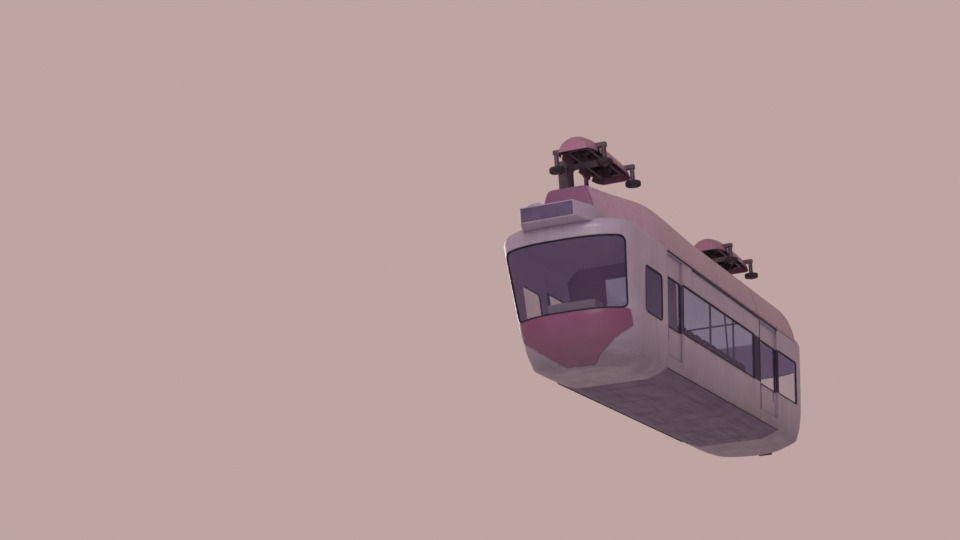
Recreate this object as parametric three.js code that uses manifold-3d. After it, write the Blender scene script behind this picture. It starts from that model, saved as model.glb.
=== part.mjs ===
// Lead car of a suspended monorail train, in millimetres, +X forward, +Y left, +Z up.
// The origin is on the running surface of the box beam, midway between the two bogies.
// Heights below are measured from the lower edge of the car's side skirts.
import * as THREE from "three";
import { mergeVertices } from "three/addons/utils/BufferGeometryUtils.js";
import Module from "manifold-3d";

const wasm = await Module();
wasm.setup();

// Driving dimensions.
const HALF_LENGTH = 6250;
const BEAM_TOP = 3950;
const PIVOT_X = 4100;
const WALL = 40;
const SEAT_GAP = 0.3;
const GLASS_INSET = 10;
const GLASS_THICK = 12;
const FLOOR_TOP = 230;
const FLOOR_THICK = 60;
const ROOF_EDGE = 2160;
const SILL = 803;
const WINDOW_TOP = 1736;
const FRONT_DOOR = [3090, 4000];
const REAR_DOOR = [-3600, -2250];
const DOOR_TRAVEL_GAP = 6;
const DOOR_THICK = 34;
const DOOR_LAP = 15;
const DOOR_STILE = 55;
const DOOR_GLASS_INSET = 8;
const DOOR_TOP = 2185;
const TRACK_HEIGHT = 6;
const SHELL_GAP = 10;
const LEAN = { from: 740, slope: 200 / 1240 };
const BIG = 9000;

// Outer form of the body at each height: half width of the sides, and for the rounded ends
// how far the tip is tucked in, how deep the curve of the plan is, and its power: 2 is a
// half ellipse and more is squarer at the corners.
const FORM = [
  // z, halfWidth, tuck, depth, power
  [-160, 700, 640, 560, 2],
  [-70, 940, 450, 760, 2],
  [0, 1080, 320, 900, 2.1],
  [310, 1120, 90, 940, 2.3],
  [740, 1150, 0, 900, 2.6],
  [1980, 1235, 0, 850, 2.65],
  [2200, 1250, 0, 850, 2.6],
  [2300, 1215, 35, 830, 2.6],
  [2365, 1110, 130, 780, 2.6],
  [2400, 930, 300, 680, 2.4],
];
const [WIDTH, TUCK, DEPTH, POWER] = [1, 2, 3, 4];
const ARC_STEPS = 16;

// The two rows of FORM around a height, and the share of the upper one.
function rowsAround(z) {
  const i = FORM.findIndex((row) => row[0] >= z);
  const [below, above] = [FORM[Math.max(i - 1, 0)], FORM[i]];
  return [below, above, (z - below[0]) / Math.max(above[0] - below[0], 1)];
}

function halfWidth(z) {
  const [below, above, share] = rowsAround(z);
  return below[WIDTH] * (1 - share) + above[WIDTH] * share;
}

// The front end leans forward above the sill, up to the roof seam.
const ROOF_SEAM = 2200;
const leanAt = (z) => LEAN.slope * THREE.MathUtils.clamp(z - LEAN.from, 0, ROOF_SEAM - LEAN.from);

// A geometry becomes a solid, its faces turned outwards.
function solid(geometry) {
  geometry.deleteAttribute("normal");
  geometry.deleteAttribute("uv");
  const merged = mergeVertices(geometry, 1e-3);
  const source = merged.index.array;
  const corners = [];
  for (let i = 0; i < source.length; i += 3) {
    const [a, b, c] = source.slice(i, i + 3);
    if (a !== b && b !== c && c !== a) corners.push(a, b, c);
  }
  const vertProperties = new Float32Array(merged.attributes.position.array);
  const make = (triVerts) =>
    new wasm.Manifold(new wasm.Mesh({ numProp: 3, vertProperties, triVerts }));
  const made = make(new Uint32Array(corners));
  return made.volume() > 0 ? made : make(new Uint32Array(corners.reverse()));
}

// Rings of equal point counts are joined to one closed body; flat holds the axes of the end faces.
function loft(rings, flat) {
  const count = rings[0].length;
  const index = [];
  for (let r = 0; r + 1 < rings.length; r++) {
    for (let i = 0; i < count; i++) {
      const a = r * count + i;
      const b = r * count + ((i + 1) % count);
      index.push(a, b, b + count, a, b + count, a + count);
    }
  }
  const cap = (ring) => {
    const outline = ring.map((p) => new THREE.Vector2(p[flat[0]], p[flat[1]]));
    const turned = THREE.ShapeUtils.isClockWise(outline);
    const faces = THREE.ShapeUtils.triangulateShape(turned ? outline.reverse() : outline, []);
    const back = (i) => (turned ? count - 1 - i : i);
    return faces.map((f) => (turned ? f.map(back).reverse() : f));
  };
  const last = (rings.length - 1) * count;
  cap(rings[0]).forEach(([a, b, c]) => index.push(a, c, b));
  cap(rings[rings.length - 1]).forEach(([a, b, c]) => index.push(last + a, last + b, last + c));
  const geometry = new THREE.BufferGeometry();
  geometry.setAttribute("position", new THREE.Float32BufferAttribute(rings.flat(2), 3));
  geometry.setIndex(index);
  return solid(geometry);
}

const alongX = (outline, x0, x1) => {
  const ring = (x) => outline.map(([y, z]) => [x, y, z]);
  return loft([ring(x0), ring(x1)], [1, 2]);
};
const alongY = (outline, y0, y1) => {
  const ring = (y) => outline.map(([x, z]) => [x, y, z]);
  return loft([ring(y0), ring(y1)], [0, 2]);
};
const alongZ = (outline, z0, z1) => {
  const ring = (z) => outline.map(([x, y]) => [x, y, z]);
  return loft([ring(z0), ring(z1)], [0, 1]);
};

function box(x, y, z) {
  const geometry = new THREE.BoxGeometry(x[1] - x[0], y[1] - y[0], z[1] - z[0]);
  geometry.translate((x[0] + x[1]) / 2, (y[0] + y[1]) / 2, (z[0] + z[1]) / 2);
  return solid(geometry);
}

// A turned piece: profile points are radius and height; the axis is Y, or Z where upright is true.
function turned(profile, sides, upright) {
  const points = profile.map(([r, h]) => new THREE.Vector2(r, h));
  const geometry = new THREE.LatheGeometry(points, sides);
  if (upright) geometry.rotateX(Math.PI / 2);
  return solid(geometry);
}

const rod = (radius, h0, h1, sides, upright) =>
  turned([[0, h0], [radius, h0], [radius, h1], [0, h1]], sides, upright);

const union = (parts) => parts.reduce((a, b) => a.add(b));
const mirrorY = (made) => made.mirror([0, 1, 0]);

// Corners of an outline are rounded by arcs of the given radius.
function rounded(outline, radius, steps = 4) {
  const count = outline.length;
  return outline.flatMap((p, i) => {
    const corner = new THREE.Vector2(...p);
    const before = new THREE.Vector2(...outline[(i + count - 1) % count]).sub(corner);
    const after = new THREE.Vector2(...outline[(i + 1) % count]).sub(corner);
    const reach = Math.min(radius, before.length() / 2, after.length() / 2);
    const start = corner.clone().add(before.setLength(reach));
    const end = corner.clone().add(after.setLength(reach));
    const curve = new THREE.QuadraticBezierCurve(start, corner, end);
    return curve.getPoints(steps).map((q) => [q.x, q.y]);
  });
}

// Plan outline of one end for a row of FORM, set in from the outer form.
// end is 1 for the nose and -1 for the tail, root is where the straight sides begin.
function rowRing(row, level, inset, end, root) {
  const width = row[WIDTH] - inset;
  const lean = end > 0 ? leanAt(row[0]) : 0;
  const tip = HALF_LENGTH + lean - row[TUCK] - inset;
  const power = 2 / row[POWER];
  const arc = [];
  for (let i = 0; i <= ARC_STEPS; i++) {
    const angle = Math.PI * (i / ARC_STEPS - 0.5);
    const along = Math.max(Math.cos(angle), 0) ** power;
    const across = Math.sign(angle) * Math.abs(Math.sin(angle)) ** power;
    arc.push([end * (tip - row[DEPTH] * (1 - along)), width * across, level]);
  }
  return [[root, -width, level], ...arc, [root, width, level]];
}

// The same outline at any height, between the outlines of two rows.
function endRing(z, inset, end, root) {
  const [below, above, share] = rowsAround(z);
  const upper = rowRing(above, z, inset, end, root);
  return rowRing(below, z, inset, end, root).map((p, i) =>
    p.map((v, axis) => v * (1 - share) + upper[i][axis] * share));
}

// Solid form of one end, set in from the outside, between its root and its tip.
function endForm(inset, end, root) {
  const top = FORM.length - 1;
  const rings = FORM.map((row, i) => {
    const shift = i === 0 ? inset : i === top ? -inset : 0;
    return rowRing(row, row[0] + shift, inset, end, root);
  });
  return loft(rings, [0, 1]);
}

// Cross-section of the straight part of the body, set in from the outside.
function bodySection(inset) {
  const top = FORM.length - 1;
  const half = FORM.map((row, i) => {
    const shift = i === 0 ? inset : i === top ? -inset : 0;
    return [row[WIDTH] - inset, row[0] + shift];
  });
  return [...half, ...half.map(([y, z]) => [-y, z]).reverse()];
}

// The whole outer form, for cutting what rests on the body.
const bodyForm = (inset) =>
  union([
    alongX(bodySection(inset), REAR_DOOR[0] - 1, FRONT_DOOR[1] + 1),
    endForm(inset, 1, FRONT_DOOR[1]),
    endForm(inset, -1, REAR_DOOR[0]),
  ]);

// Finishes.
const finish = (color, roughness, metalness = 0) =>
  new THREE.MeshStandardMaterial({ color, roughness, metalness });
const FINISH = {
  shell: () => finish(0xd9d0d6, 0.45),
  fairing: () => finish(0xc78fa6, 0.5),
  cover: () => finish(0xb25a6c, 0.5),
  red: () => finish(0x9c3038, 0.4),
  belly: () => finish(0x4a444c, 0.7),
  glass: () => {
    const made = finish(0x463c52, 0.1);
    made.transparent = true;
    made.opacity = 0.55;
    return made;
  },
  steel: () => finish(0x57535a, 0.5, 0.7),
  rubber: () => finish(0x1d1c1e, 0.85),
  lining: () => finish(0x6e7a80, 0.7),
  cushion: () => finish(0x5b2f3c, 0.8),
  panel: () => finish(0x332a44, 0.3),
};

const car = new THREE.Group();
car.position.z = -BEAM_TOP;

function place(parent, name, made, look) {
  const data = made.getMesh();
  const positions = [];
  for (let i = 0; i < data.numVert; i++) {
    positions.push(...data.vertProperties.slice(i * data.numProp, i * data.numProp + 3));
  }
  const geometry = new THREE.BufferGeometry();
  geometry.setAttribute("position", new THREE.Float32BufferAttribute(positions, 3));
  geometry.setIndex([...data.triVerts]);
  const mesh = new THREE.Mesh(geometry, FINISH[look]());
  mesh.name = name;
  parent.add(mesh);
}

// Window outlines. The front ones are seen along X, the side ones along Y.
const shrink = (outline, by) => {
  const spans = [0, 1].map((i) => {
    const values = outline.map((p) => p[i]);
    return [Math.min(...values), Math.max(...values)];
  });
  const smaller = (v, [low, high]) => {
    const middle = (low + high) / 2;
    return middle + (v - middle) * (1 - (2 * by) / (high - low));
  };
  return outline.map((p) => p.map((v, i) => smaller(v, spans[i])));
};
const trapezium = (z0, half0, z1, half1) => [[-half0, z0], [half0, z0], [half1, z1], [-half1, z1]];
const WINDSHIELD = rounded(trapezium(745, 1025, 2000, 1135), 110);
const REAR_WINDOW = rounded(trapezium(SILL, 980, 1700, 1040), 110);
const SHIELD = rounded(
  [[-1055, 738], [-1050, 440], [-270, -130], [270, -130], [1050, 440], [1055, 738]], 45, 2);
const sideWindow = (x0, x1, top, radius) =>
  rounded([[x0, SILL], [x1, SILL], [x1, top], [x0, top]], radius);
const CAB_WINDOW = sideWindow(4320, 5260, 1640, 110);
const TAIL_WINDOW = sideWindow(-5200, -3680, WINDOW_TOP, 70);
const LONG_WINDOW = sideWindow(-1790, 3045, WINDOW_TOP, 30);
const GLASS_GAP = 0.5;
const GLASS_MARGIN = 50;

// One moulded end: a shell with a wall, open to the saloon.
function endShell(end, root) {
  const inside = endForm(WALL, end, root - end * SHELL_GAP);
  return endForm(0, end, root + end * SEAT_GAP).subtract(inside);
}
// A curved skin of one end, between two depths under its outer form.
const endSkin = (end, root, outer, inner) =>
  endForm(outer, end, root).subtract(endForm(inner, end, root - end * SHELL_GAP));
const endGlass = (end, root) => endSkin(end, root, GLASS_INSET, GLASS_INSET + GLASS_THICK);

// Nose moulding, its red front panel, windshield and cab side windows.
const NOSE_ROOT = FRONT_DOOR[1];
const SHIELD_FROM = NOSE_ROOT + 500;
const SCREEN_FROM = NOSE_ROOT + 900;
const SHIELD_GAP = 0.6;
const noseGlass = endGlass(1, NOSE_ROOT);
place(
  car,
  "nose_shell",
  endShell(1, NOSE_ROOT)
    .subtract(alongX(WINDSHIELD, SCREEN_FROM, BIG))
    .subtract(alongX(SHIELD, SHIELD_FROM, BIG))
    .subtract(alongY(CAB_WINDOW, -BIG, BIG)),
  "shell",
);
place(
  car,
  "nose_panel",
  endSkin(1, NOSE_ROOT, 0, WALL - 8)
    .intersect(alongX(shrink(SHIELD, SHIELD_GAP), SHIELD_FROM + SHIELD_GAP, BIG)),
  "red",
);
place(
  car,
  "windshield",
  noseGlass.intersect(alongX(shrink(WINDSHIELD, GLASS_GAP), SCREEN_FROM + GLASS_GAP, BIG)),
  "glass",
);

// Tail moulding with its end window and the slot that the drawbar passes through.
const TAIL_ROOT = REAR_DOOR[0];
const TAIL_SCREEN_FROM = TAIL_ROOT - 1200;
const DRAWBAR = { half: 90, low: 20, high: 150, gap: 0.5, root: -5500 };
const tailGlass = endGlass(-1, TAIL_ROOT);
const drawbarSlot = box(
  [-HALF_LENGTH, DRAWBAR.root],
  [-DRAWBAR.half - DRAWBAR.gap, DRAWBAR.half + DRAWBAR.gap],
  [DRAWBAR.low - DRAWBAR.gap, DRAWBAR.high + DRAWBAR.gap],
);
place(
  car,
  "tail_shell",
  endShell(-1, TAIL_ROOT)
    .subtract(alongX(REAR_WINDOW, -BIG, TAIL_SCREEN_FROM))
    .subtract(alongY(TAIL_WINDOW, -BIG, BIG))
    .subtract(drawbarSlot),
  "shell",
);
place(
  car,
  "rear_window",
  tailGlass.intersect(alongX(shrink(REAR_WINDOW, GLASS_GAP), -BIG, TAIL_SCREEN_FROM - GLASS_GAP)),
  "glass",
);

// Wall strip between two heights, its outer face set in from the body's side.
function wallStrip(z0, z1, inset, thick) {
  const bends = FORM.map((row) => row[0]).filter((z) => z > z0 && z < z1);
  const levels = [z0, ...bends, z1];
  const outer = levels.map((z) => [halfWidth(z) - inset, z]);
  const inner = levels.map((z) => [halfWidth(z) - inset - thick, z]).reverse();
  return [...outer, ...inner];
}
const glassStrip = (inset) =>
  wallStrip(SILL - GLASS_MARGIN, WINDOW_TOP + GLASS_MARGIN, inset, GLASS_THICK);

// Side walls, doors and glass, left and right.
const SIDES = [["left", (made) => made], ["right", mirrorY]];
const DOORS = [["front", FRONT_DOOR], ["rear", REAR_DOOR]];
const DOOR_INSET = WALL + DOOR_TRAVEL_GAP;
const DOOR_LOW = FLOOR_TOP + TRACK_HEIGHT + 0.5;
const DOOR_RADIUS = 50;
// A pane is cut from curved glass to the shape of its opening, a little smaller.
const pane = (glass, outline) => glass.intersect(alongY(shrink(outline, GLASS_GAP), 0, BIG));
for (const [side, turn] of SIDES) {
  const wallSpan = [REAR_DOOR[1], FRONT_DOOR[0]];
  const wall = alongX(wallStrip(0, ROOF_EDGE - SEAT_GAP, 0, WALL), ...wallSpan);
  place(car, "side_" + side, turn(wall.subtract(alongY(LONG_WINDOW, 0, BIG))), "shell");
  const longGlass = alongX(glassStrip(GLASS_INSET), ...wallSpan);
  place(car, "side_window_" + side, turn(pane(longGlass, LONG_WINDOW)), "glass");
  place(car, "cab_window_" + side, turn(pane(noseGlass, CAB_WINDOW)), "glass");
  place(car, "tail_window_" + side, turn(pane(tailGlass, TAIL_WINDOW)), "glass");
  for (const [end, [x0, x1]] of DOORS) {
    const leafSpan = [x0 - DOOR_LAP, x1 + DOOR_LAP];
    const opening = sideWindow(
      leafSpan[0] + DOOR_STILE, leafSpan[1] - DOOR_STILE, WINDOW_TOP, DOOR_RADIUS);
    const leaf = alongX(wallStrip(DOOR_LOW, DOOR_TOP, DOOR_INSET, DOOR_THICK), ...leafSpan);
    const glass = alongX(glassStrip(DOOR_INSET + DOOR_GLASS_INSET), ...leafSpan);
    place(car, `door_${end}_${side}`, turn(leaf.subtract(alongY(opening, 0, BIG))), "shell");
    place(car, `door_glass_${end}_${side}`, turn(pane(glass, opening)), "glass");
  }
}

// Underframe: the floor, the sills under the doors, the door tracks and two deep keelsons.
const FLOOR_GAP = { side: 0.5, end: 5 };
const SILL_THICK = WALL + 30;
const TRACK = { half: 6, sunk: 10 };
const KEELSON = { near: 560, far: 620, back: -3500, front: 3900, joins: 5 };
// The floor follows the inner face of both ends and rests against the side walls.
function floorRing(z) {
  const half = halfWidth(z) - WALL - FLOOR_GAP.side;
  const around = (end, root) => [
    [root, -half, z],
    ...endRing(z, WALL + FLOOR_GAP.end, end, root).slice(1, -1),
    [root, half, z],
  ];
  return [...around(1, NOSE_ROOT), ...around(-1, TAIL_ROOT).reverse()];
}
const FLOOR_LOW = FLOOR_TOP - FLOOR_THICK;
const trackMiddle = halfWidth(FLOOR_TOP) - DOOR_INSET - DOOR_THICK / 2;
const underframe = [loft([floorRing(FLOOR_LOW), floorRing(FLOOR_TOP)], [0, 1])];
for (const [, turn] of SIDES) {
  for (const [, [x0, x1]] of DOORS) {
    const sill = alongX(wallStrip(0, FLOOR_TOP, 0, SILL_THICK), x0 + SEAT_GAP, x1 - SEAT_GAP);
    underframe.push(turn(sill));
  }
  const track = box(
    [REAR_DOOR[0] - DOOR_LAP, FRONT_DOOR[1] + DOOR_LAP],
    [trackMiddle - TRACK.half, trackMiddle + TRACK.half],
    [FLOOR_TOP - TRACK.sunk, FLOOR_TOP + TRACK_HEIGHT],
  );
  const keelson = box(
    [KEELSON.back, KEELSON.front],
    [KEELSON.near, KEELSON.far],
    [FORM[0][0] + WALL + SEAT_GAP, FLOOR_LOW + KEELSON.joins],
  );
  underframe.push(turn(track), turn(keelson));
}
place(car, "underframe", union(underframe), "belly");

// Belly pan between the two ends, its rim set in under the skirts.
const PAN_OUTER = [[1066, -SEAT_GAP], [940, -70], [700, -160]];
const PAN_INNER = [[640, -120], [890, -35], [960, -SEAT_GAP]];
const mirrored = (points) => points.map(([y, z]) => [-y, z]).reverse();
const panSection = [...PAN_OUTER, ...mirrored(PAN_OUTER), ...mirrored(PAN_INNER), ...PAN_INNER];
place(car, "belly_pan", alongX(panSection, TAIL_ROOT + SEAT_GAP, NOSE_ROOT - SEAT_GAP), "belly");

// Roof between the two ends.
const ROOF_TOP = FORM[FORM.length - 1][0];
const roofBand = box([TAIL_ROOT + SEAT_GAP, NOSE_ROOT - SEAT_GAP], [-BIG, BIG], [ROOF_EDGE, BIG]);
const roofRing = alongX(bodySection(0), TAIL_ROOT, NOSE_ROOT)
  .subtract(alongX(bodySection(WALL), TAIL_ROOT - SHELL_GAP, NOSE_ROOT + SHELL_GAP));
place(car, "roof", roofRing.intersect(roofBand), "shell");

// Roof spine with the two bearing blocks that hang on the bogies' pivots.
const SPINE = { end: PIVOT_X + 300, half: 180, top: 2600 };
const BLOCK = { half: 260, top: 2700 };
const PIVOT_SIDES = 20;
const PIVOT = { bore: 71.5, pin: 70, head: 120, cavity: 130, headLow: 2530, ledge: 2610 };
const PIVOT_PLACES = [-PIVOT_X, PIVOT_X];
const onRoof = ROOF_TOP + SEAT_GAP;
const spineBeam = box([-SPINE.end, SPINE.end], [-SPINE.half, SPINE.half], [onRoof, SPINE.top]);
const blocks = PIVOT_PLACES.map((x) =>
  box([x - BLOCK.half, x + BLOCK.half], [-BLOCK.half, BLOCK.half], [onRoof, BLOCK.top]));
let spine = union([spineBeam, ...blocks]);
for (const x of PIVOT_PLACES) {
  spine = spine
    .subtract(rod(PIVOT.bore, ROOF_TOP, BIG, PIVOT_SIDES, true).translate([x, 0, 0]))
    .subtract(rod(PIVOT.cavity, ROOF_TOP, PIVOT.ledge, PIVOT_SIDES, true).translate([x, 0, 0]));
}
place(car, "roof_spine", spine, "steel");

// Roof fairing: a long hood from above the cab to the tail, in two lengths.
const HOOD_THICK = 30;
const HOOD = [
  // y, z, share of the wall's thickness that is taken off the height inside
  [1256, 2206, 0],
  [1222, 2460, 0],
  [1120, 2760, 0],
  [960, 2990, 0.5],
  [870, 3060, 1],
  [720, 3085, 1],
];
const HOOD_STATIONS = [
  // x, width scale, height scale
  [5800, 0.4, 1.06],
  [5740, 0.45, 1.09],
  [5200, 0.6, 1.09],
  [4650, 0.8, 1.09],
  [4250, 0.95, 1.09],
  [3850, 1, 1.09],
  [3000, 1, 1.08],
  [1400, 1, 1],
  [-5200, 1, 1],
  [-5440, 0.95, 0.98],
  [-5560, 0.86, 0.9],
];
const HOOD_FOOT = HOOD[0][1];
function hoodForm(inset) {
  const rings = HOOD_STATIONS.map(([x, wide, high], i) => {
    const isEnd = i === 0 || i === HOOD_STATIONS.length - 1;
    const along = isEnd ? x - Math.sign(x) * inset : x;
    const half = HOOD.map(([y, z, share]) => [
      y * wide - inset,
      HOOD_FOOT + (z - HOOD_FOOT) * high - share * inset,
    ]);
    half[0][1] -= inset;
    return [...half, ...mirrored(half)].map(([y, z]) => [along, y, z]);
  });
  return loft(rings, [1, 2]);
}
const HOOD_JOINT = -2150;
const JOINT_GAP = 2;
const ROOF_GAP = SEAT_GAP + 0.1;
const SLOT = { half: 290, y: [-725, -450], z: 2980 };
let hood = hoodForm(0).subtract(hoodForm(HOOD_THICK)).subtract(bodyForm(-ROOF_GAP));
for (const x of PIVOT_PLACES) {
  hood = hood.subtract(box([x - SLOT.half, x + SLOT.half], SLOT.y, [SLOT.z, BIG]));
}
const biggest = (made) => made.decompose().sort((a, b) => b.volume() - a.volume())[0];
const hoodPart = (x0, x1) => biggest(hood.intersect(box([x0, x1], [-BIG, BIG], [0, BIG])));
place(car, "fairing_front", hoodPart(HOOD_JOINT + JOINT_GAP, BIG), "fairing");
place(car, "fairing_rear", hoodPart(-BIG, HOOD_JOINT - JOINT_GAP), "fairing");

// Sign pod that overhangs the roof's front edge, its blank dark panel and a small cap on top.
const POD = { front: 6900, side: 6350, back: 5830, low: 2275, top: 2562 };
const POD_HALF = { front: 502, side: 670, back: 700 };
const POD_PANEL = { half: 486, low: 2293, high: 2544, deep: 14, sunk: 4 };
const POD_CAP = { x: [6640, 6860], y: [-430, -300, -150, -50], rise: 55, sunk: 5 };
const podHalf = [
  [POD.front, POD_HALF.front],
  [POD.side, POD_HALF.side],
  [POD.back, POD_HALF.back],
];
const podPlan = rounded([...podHalf.map(([x, y]) => [x, -y]).reverse(), ...podHalf], 40, 3);
const podPocket = box(
  [POD.front - POD_PANEL.deep, BIG],
  [-POD_PANEL.half - 2, POD_PANEL.half + 2],
  [POD_PANEL.low - 2, POD_PANEL.high + 2],
);
const capLevels = [-POD_CAP.sunk, POD_CAP.rise, POD_CAP.rise, -POD_CAP.sunk];
const podCap = alongX(POD_CAP.y.map((y, i) => [y, POD.top + capLevels[i]]), ...POD_CAP.x);
place(
  car,
  "sign_pod",
  alongZ(podPlan, POD.low, POD.top)
    .add(podCap)
    .subtract(bodyForm(-ROOF_GAP))
    .subtract(podPocket),
  "shell",
);
place(
  car,
  "pod_panel",
  box(
    [POD.front - POD_PANEL.deep + SEAT_GAP, POD.front - POD_PANEL.sunk],
    [-POD_PANEL.half, POD_PANEL.half],
    [POD_PANEL.low, POD_PANEL.high],
  ),
  "panel",
);

// Partition with a doorway between the front doors and the saloon.
const onFloor = FLOOR_TOP + SEAT_GAP;
const CEILING = ROOF_TOP - WALL - SEAT_GAP;
const PARTITION = { x: [3020, 3050], half: 1000, high: 1090, bend: 2150, top: 850 };
const DOORWAY = { half: 320, top: 2080 };
const partitionHalf = [
  [PARTITION.half, onFloor],
  [PARTITION.high, PARTITION.bend],
  [PARTITION.top, CEILING],
];
const doorway = box([0, BIG], [-DOORWAY.half, DOORWAY.half], [0, DOORWAY.top]);
place(
  car,
  "partition",
  alongX([...partitionHalf, ...mirrored(partitionHalf)], ...PARTITION.x).subtract(doorway),
  "lining",
);

// Driver's desk under the windshield, and the driver's seat on its column.
const DESK_HALF = 450;
const deskOutline = [
  [5330, onFloor], [5680, onFloor], [5960, 760], [5960, 985], [5600, 1000], [5330, 880],
];
place(car, "desk", alongY(deskOutline, -DESK_HALF, DESK_HALF), "lining");
const SEAT_X = 4850;
const SEAT_HALF = 225;
const SEAT_LEVELS = { base: FLOOR_TOP + 20, pan: FLOOR_TOP + 320, top: FLOOR_TOP + 430 };
const seatBack = [[4600, 620], [4690, 620], [4630, 1150], [4550, 1150]];
place(
  car,
  "driver_seat",
  union([
    rod(110, onFloor, SEAT_LEVELS.base, 16, true).translate([SEAT_X, 0, 0]),
    rod(45, FLOOR_TOP + 10, SEAT_LEVELS.pan + 10, 12, true).translate([SEAT_X, 0, 0]),
    box([4640, 5080], [-SEAT_HALF, SEAT_HALF], [SEAT_LEVELS.pan, SEAT_LEVELS.top]),
    alongY(seatBack, -SEAT_HALF + 5, SEAT_HALF - 5),
  ]),
  "cushion",
);

// Grab frame across the rear vestibule: two poles and a bar under the ceiling.
const GRAB = { x: -1750, y: 640, bar: 2000, reach: 980, r: 18, sides: 12 };
const pole = rod(GRAB.r, onFloor, CEILING, GRAB.sides, true).translate([GRAB.x, GRAB.y, 0]);
const bar = rod(GRAB.r, -GRAB.reach, GRAB.reach, GRAB.sides, false);
place(
  car,
  "grab_frame",
  union([pole, mirrorY(pole), bar.translate([GRAB.x, 0, GRAB.bar])]),
  "steel",
);

// Benches along both walls, each with one long cushion for its seat and back.
const BENCH_X = [-1600, 2900];
const CUSHION_END = 15;
const benchSection = [
  [560, onFloor], [985, onFloor], [1030, 1010], [990, 1010], [968, 600], [560, 600],
];
const cushionSection = [
  [545, 600 + SEAT_GAP], [967, 600 + SEAT_GAP], [988, 1005], [915, 1005], [880, 700], [545, 690],
];
for (const [side, turn] of SIDES) {
  const cushionSpan = [BENCH_X[0] + CUSHION_END, BENCH_X[1] - CUSHION_END];
  place(car, "bench_" + side, turn(alongX(benchSection, ...BENCH_X)), "lining");
  place(car, "cushion_" + side, turn(alongX(cushionSection, ...cushionSpan)), "cushion");
}

// Coupler: a drawbar through the tail and its flat head.
const COUPLER = { face: -6520, thick: 60, half: 150, low: -30, high: 200 };
const couplerBack = COUPLER.face + COUPLER.thick;
place(
  car,
  "coupler",
  union([
    box([couplerBack - 20, DRAWBAR.root], [-DRAWBAR.half, DRAWBAR.half], [DRAWBAR.low, DRAWBAR.high]),
    box([COUPLER.face, couplerBack], [-COUPLER.half, COUPLER.half], [COUPLER.low, COUPLER.high]),
  ]),
  "steel",
);

// Bogies: two wheels in line on top of the beam, four guide wheels at its sides,
// and one C-shaped arm down the far side to the pivot over the roof.
const WHEELBASE_HALF = 620;
const WHEEL_SIDES = 20;
const GUIDE_SIDES = 16;
const PIN_SIDES = 12;
const TYRE = { r: 175, half: 100, bead: 105 };
const AXLE = { r: 35, bore: 35.8, half: 245, hub: 70, hubHalf: 110 };
const AXLE_Z = BEAM_TOP + TYRE.r;
const GUIDE = { r: 150, half: 50, x: 800, y: 470, z: 3800, bore: 26, pin: 25, hub: 45 };
const FRAME = { near: 180, far: 232, low: AXLE_Z - 55, high: AXLE_Z + 55, end: 960 };
const CROSSBEAM = { middle: 200, thick: 80 };
const BRACKET = { half: 50, low: FRAME.low + 30, joins: 5 };
const ARM = { half: 180, inner: -500, outer: -680, low: 2850, top: 3020, tip: 160, radius: 70 };
const COLLAR = 110;
const RUN_GAP = 0.5;

const tyreHalf = [
  [TYRE.bead, TYRE.half - 30],
  [TYRE.bead + 30, TYRE.half - 5],
  [TYRE.r - 25, TYRE.half],
  [TYRE.r - 6, TYRE.half - 18],
  [TYRE.r, TYRE.half - 45],
];
const bothSides = (points) => [...points, ...points.map(([r, h]) => [r, -h]).reverse()];
const tyreProfile = [...bothSides(tyreHalf), tyreHalf[0]];
const wheelProfile = bothSides([
  [0, AXLE.half],
  [AXLE.r, AXLE.half],
  [AXLE.r, AXLE.hubHalf],
  [AXLE.hub, AXLE.hubHalf],
  [TYRE.bead - 15, 45],
  [TYRE.bead - SEAT_GAP, TYRE.half - 31],
]);
const guideHalf = [
  [GUIDE.bore, GUIDE.half], [62, GUIDE.half], [72, 32], [GUIDE.r - 14, 46], [GUIDE.r, 32],
];
const guideProfile = [...bothSides(guideHalf), guideHalf[0]];
const armOutline = rounded([
  [-FRAME.near - 20, FRAME.high],
  [ARM.outer, FRAME.high],
  [ARM.outer, ARM.low],
  [ARM.tip, ARM.low],
  [ARM.tip, ARM.top],
  [ARM.inner, ARM.top],
  [ARM.inner, FRAME.low],
  [-FRAME.near - 20, FRAME.low],
], ARM.radius, 3);

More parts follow.
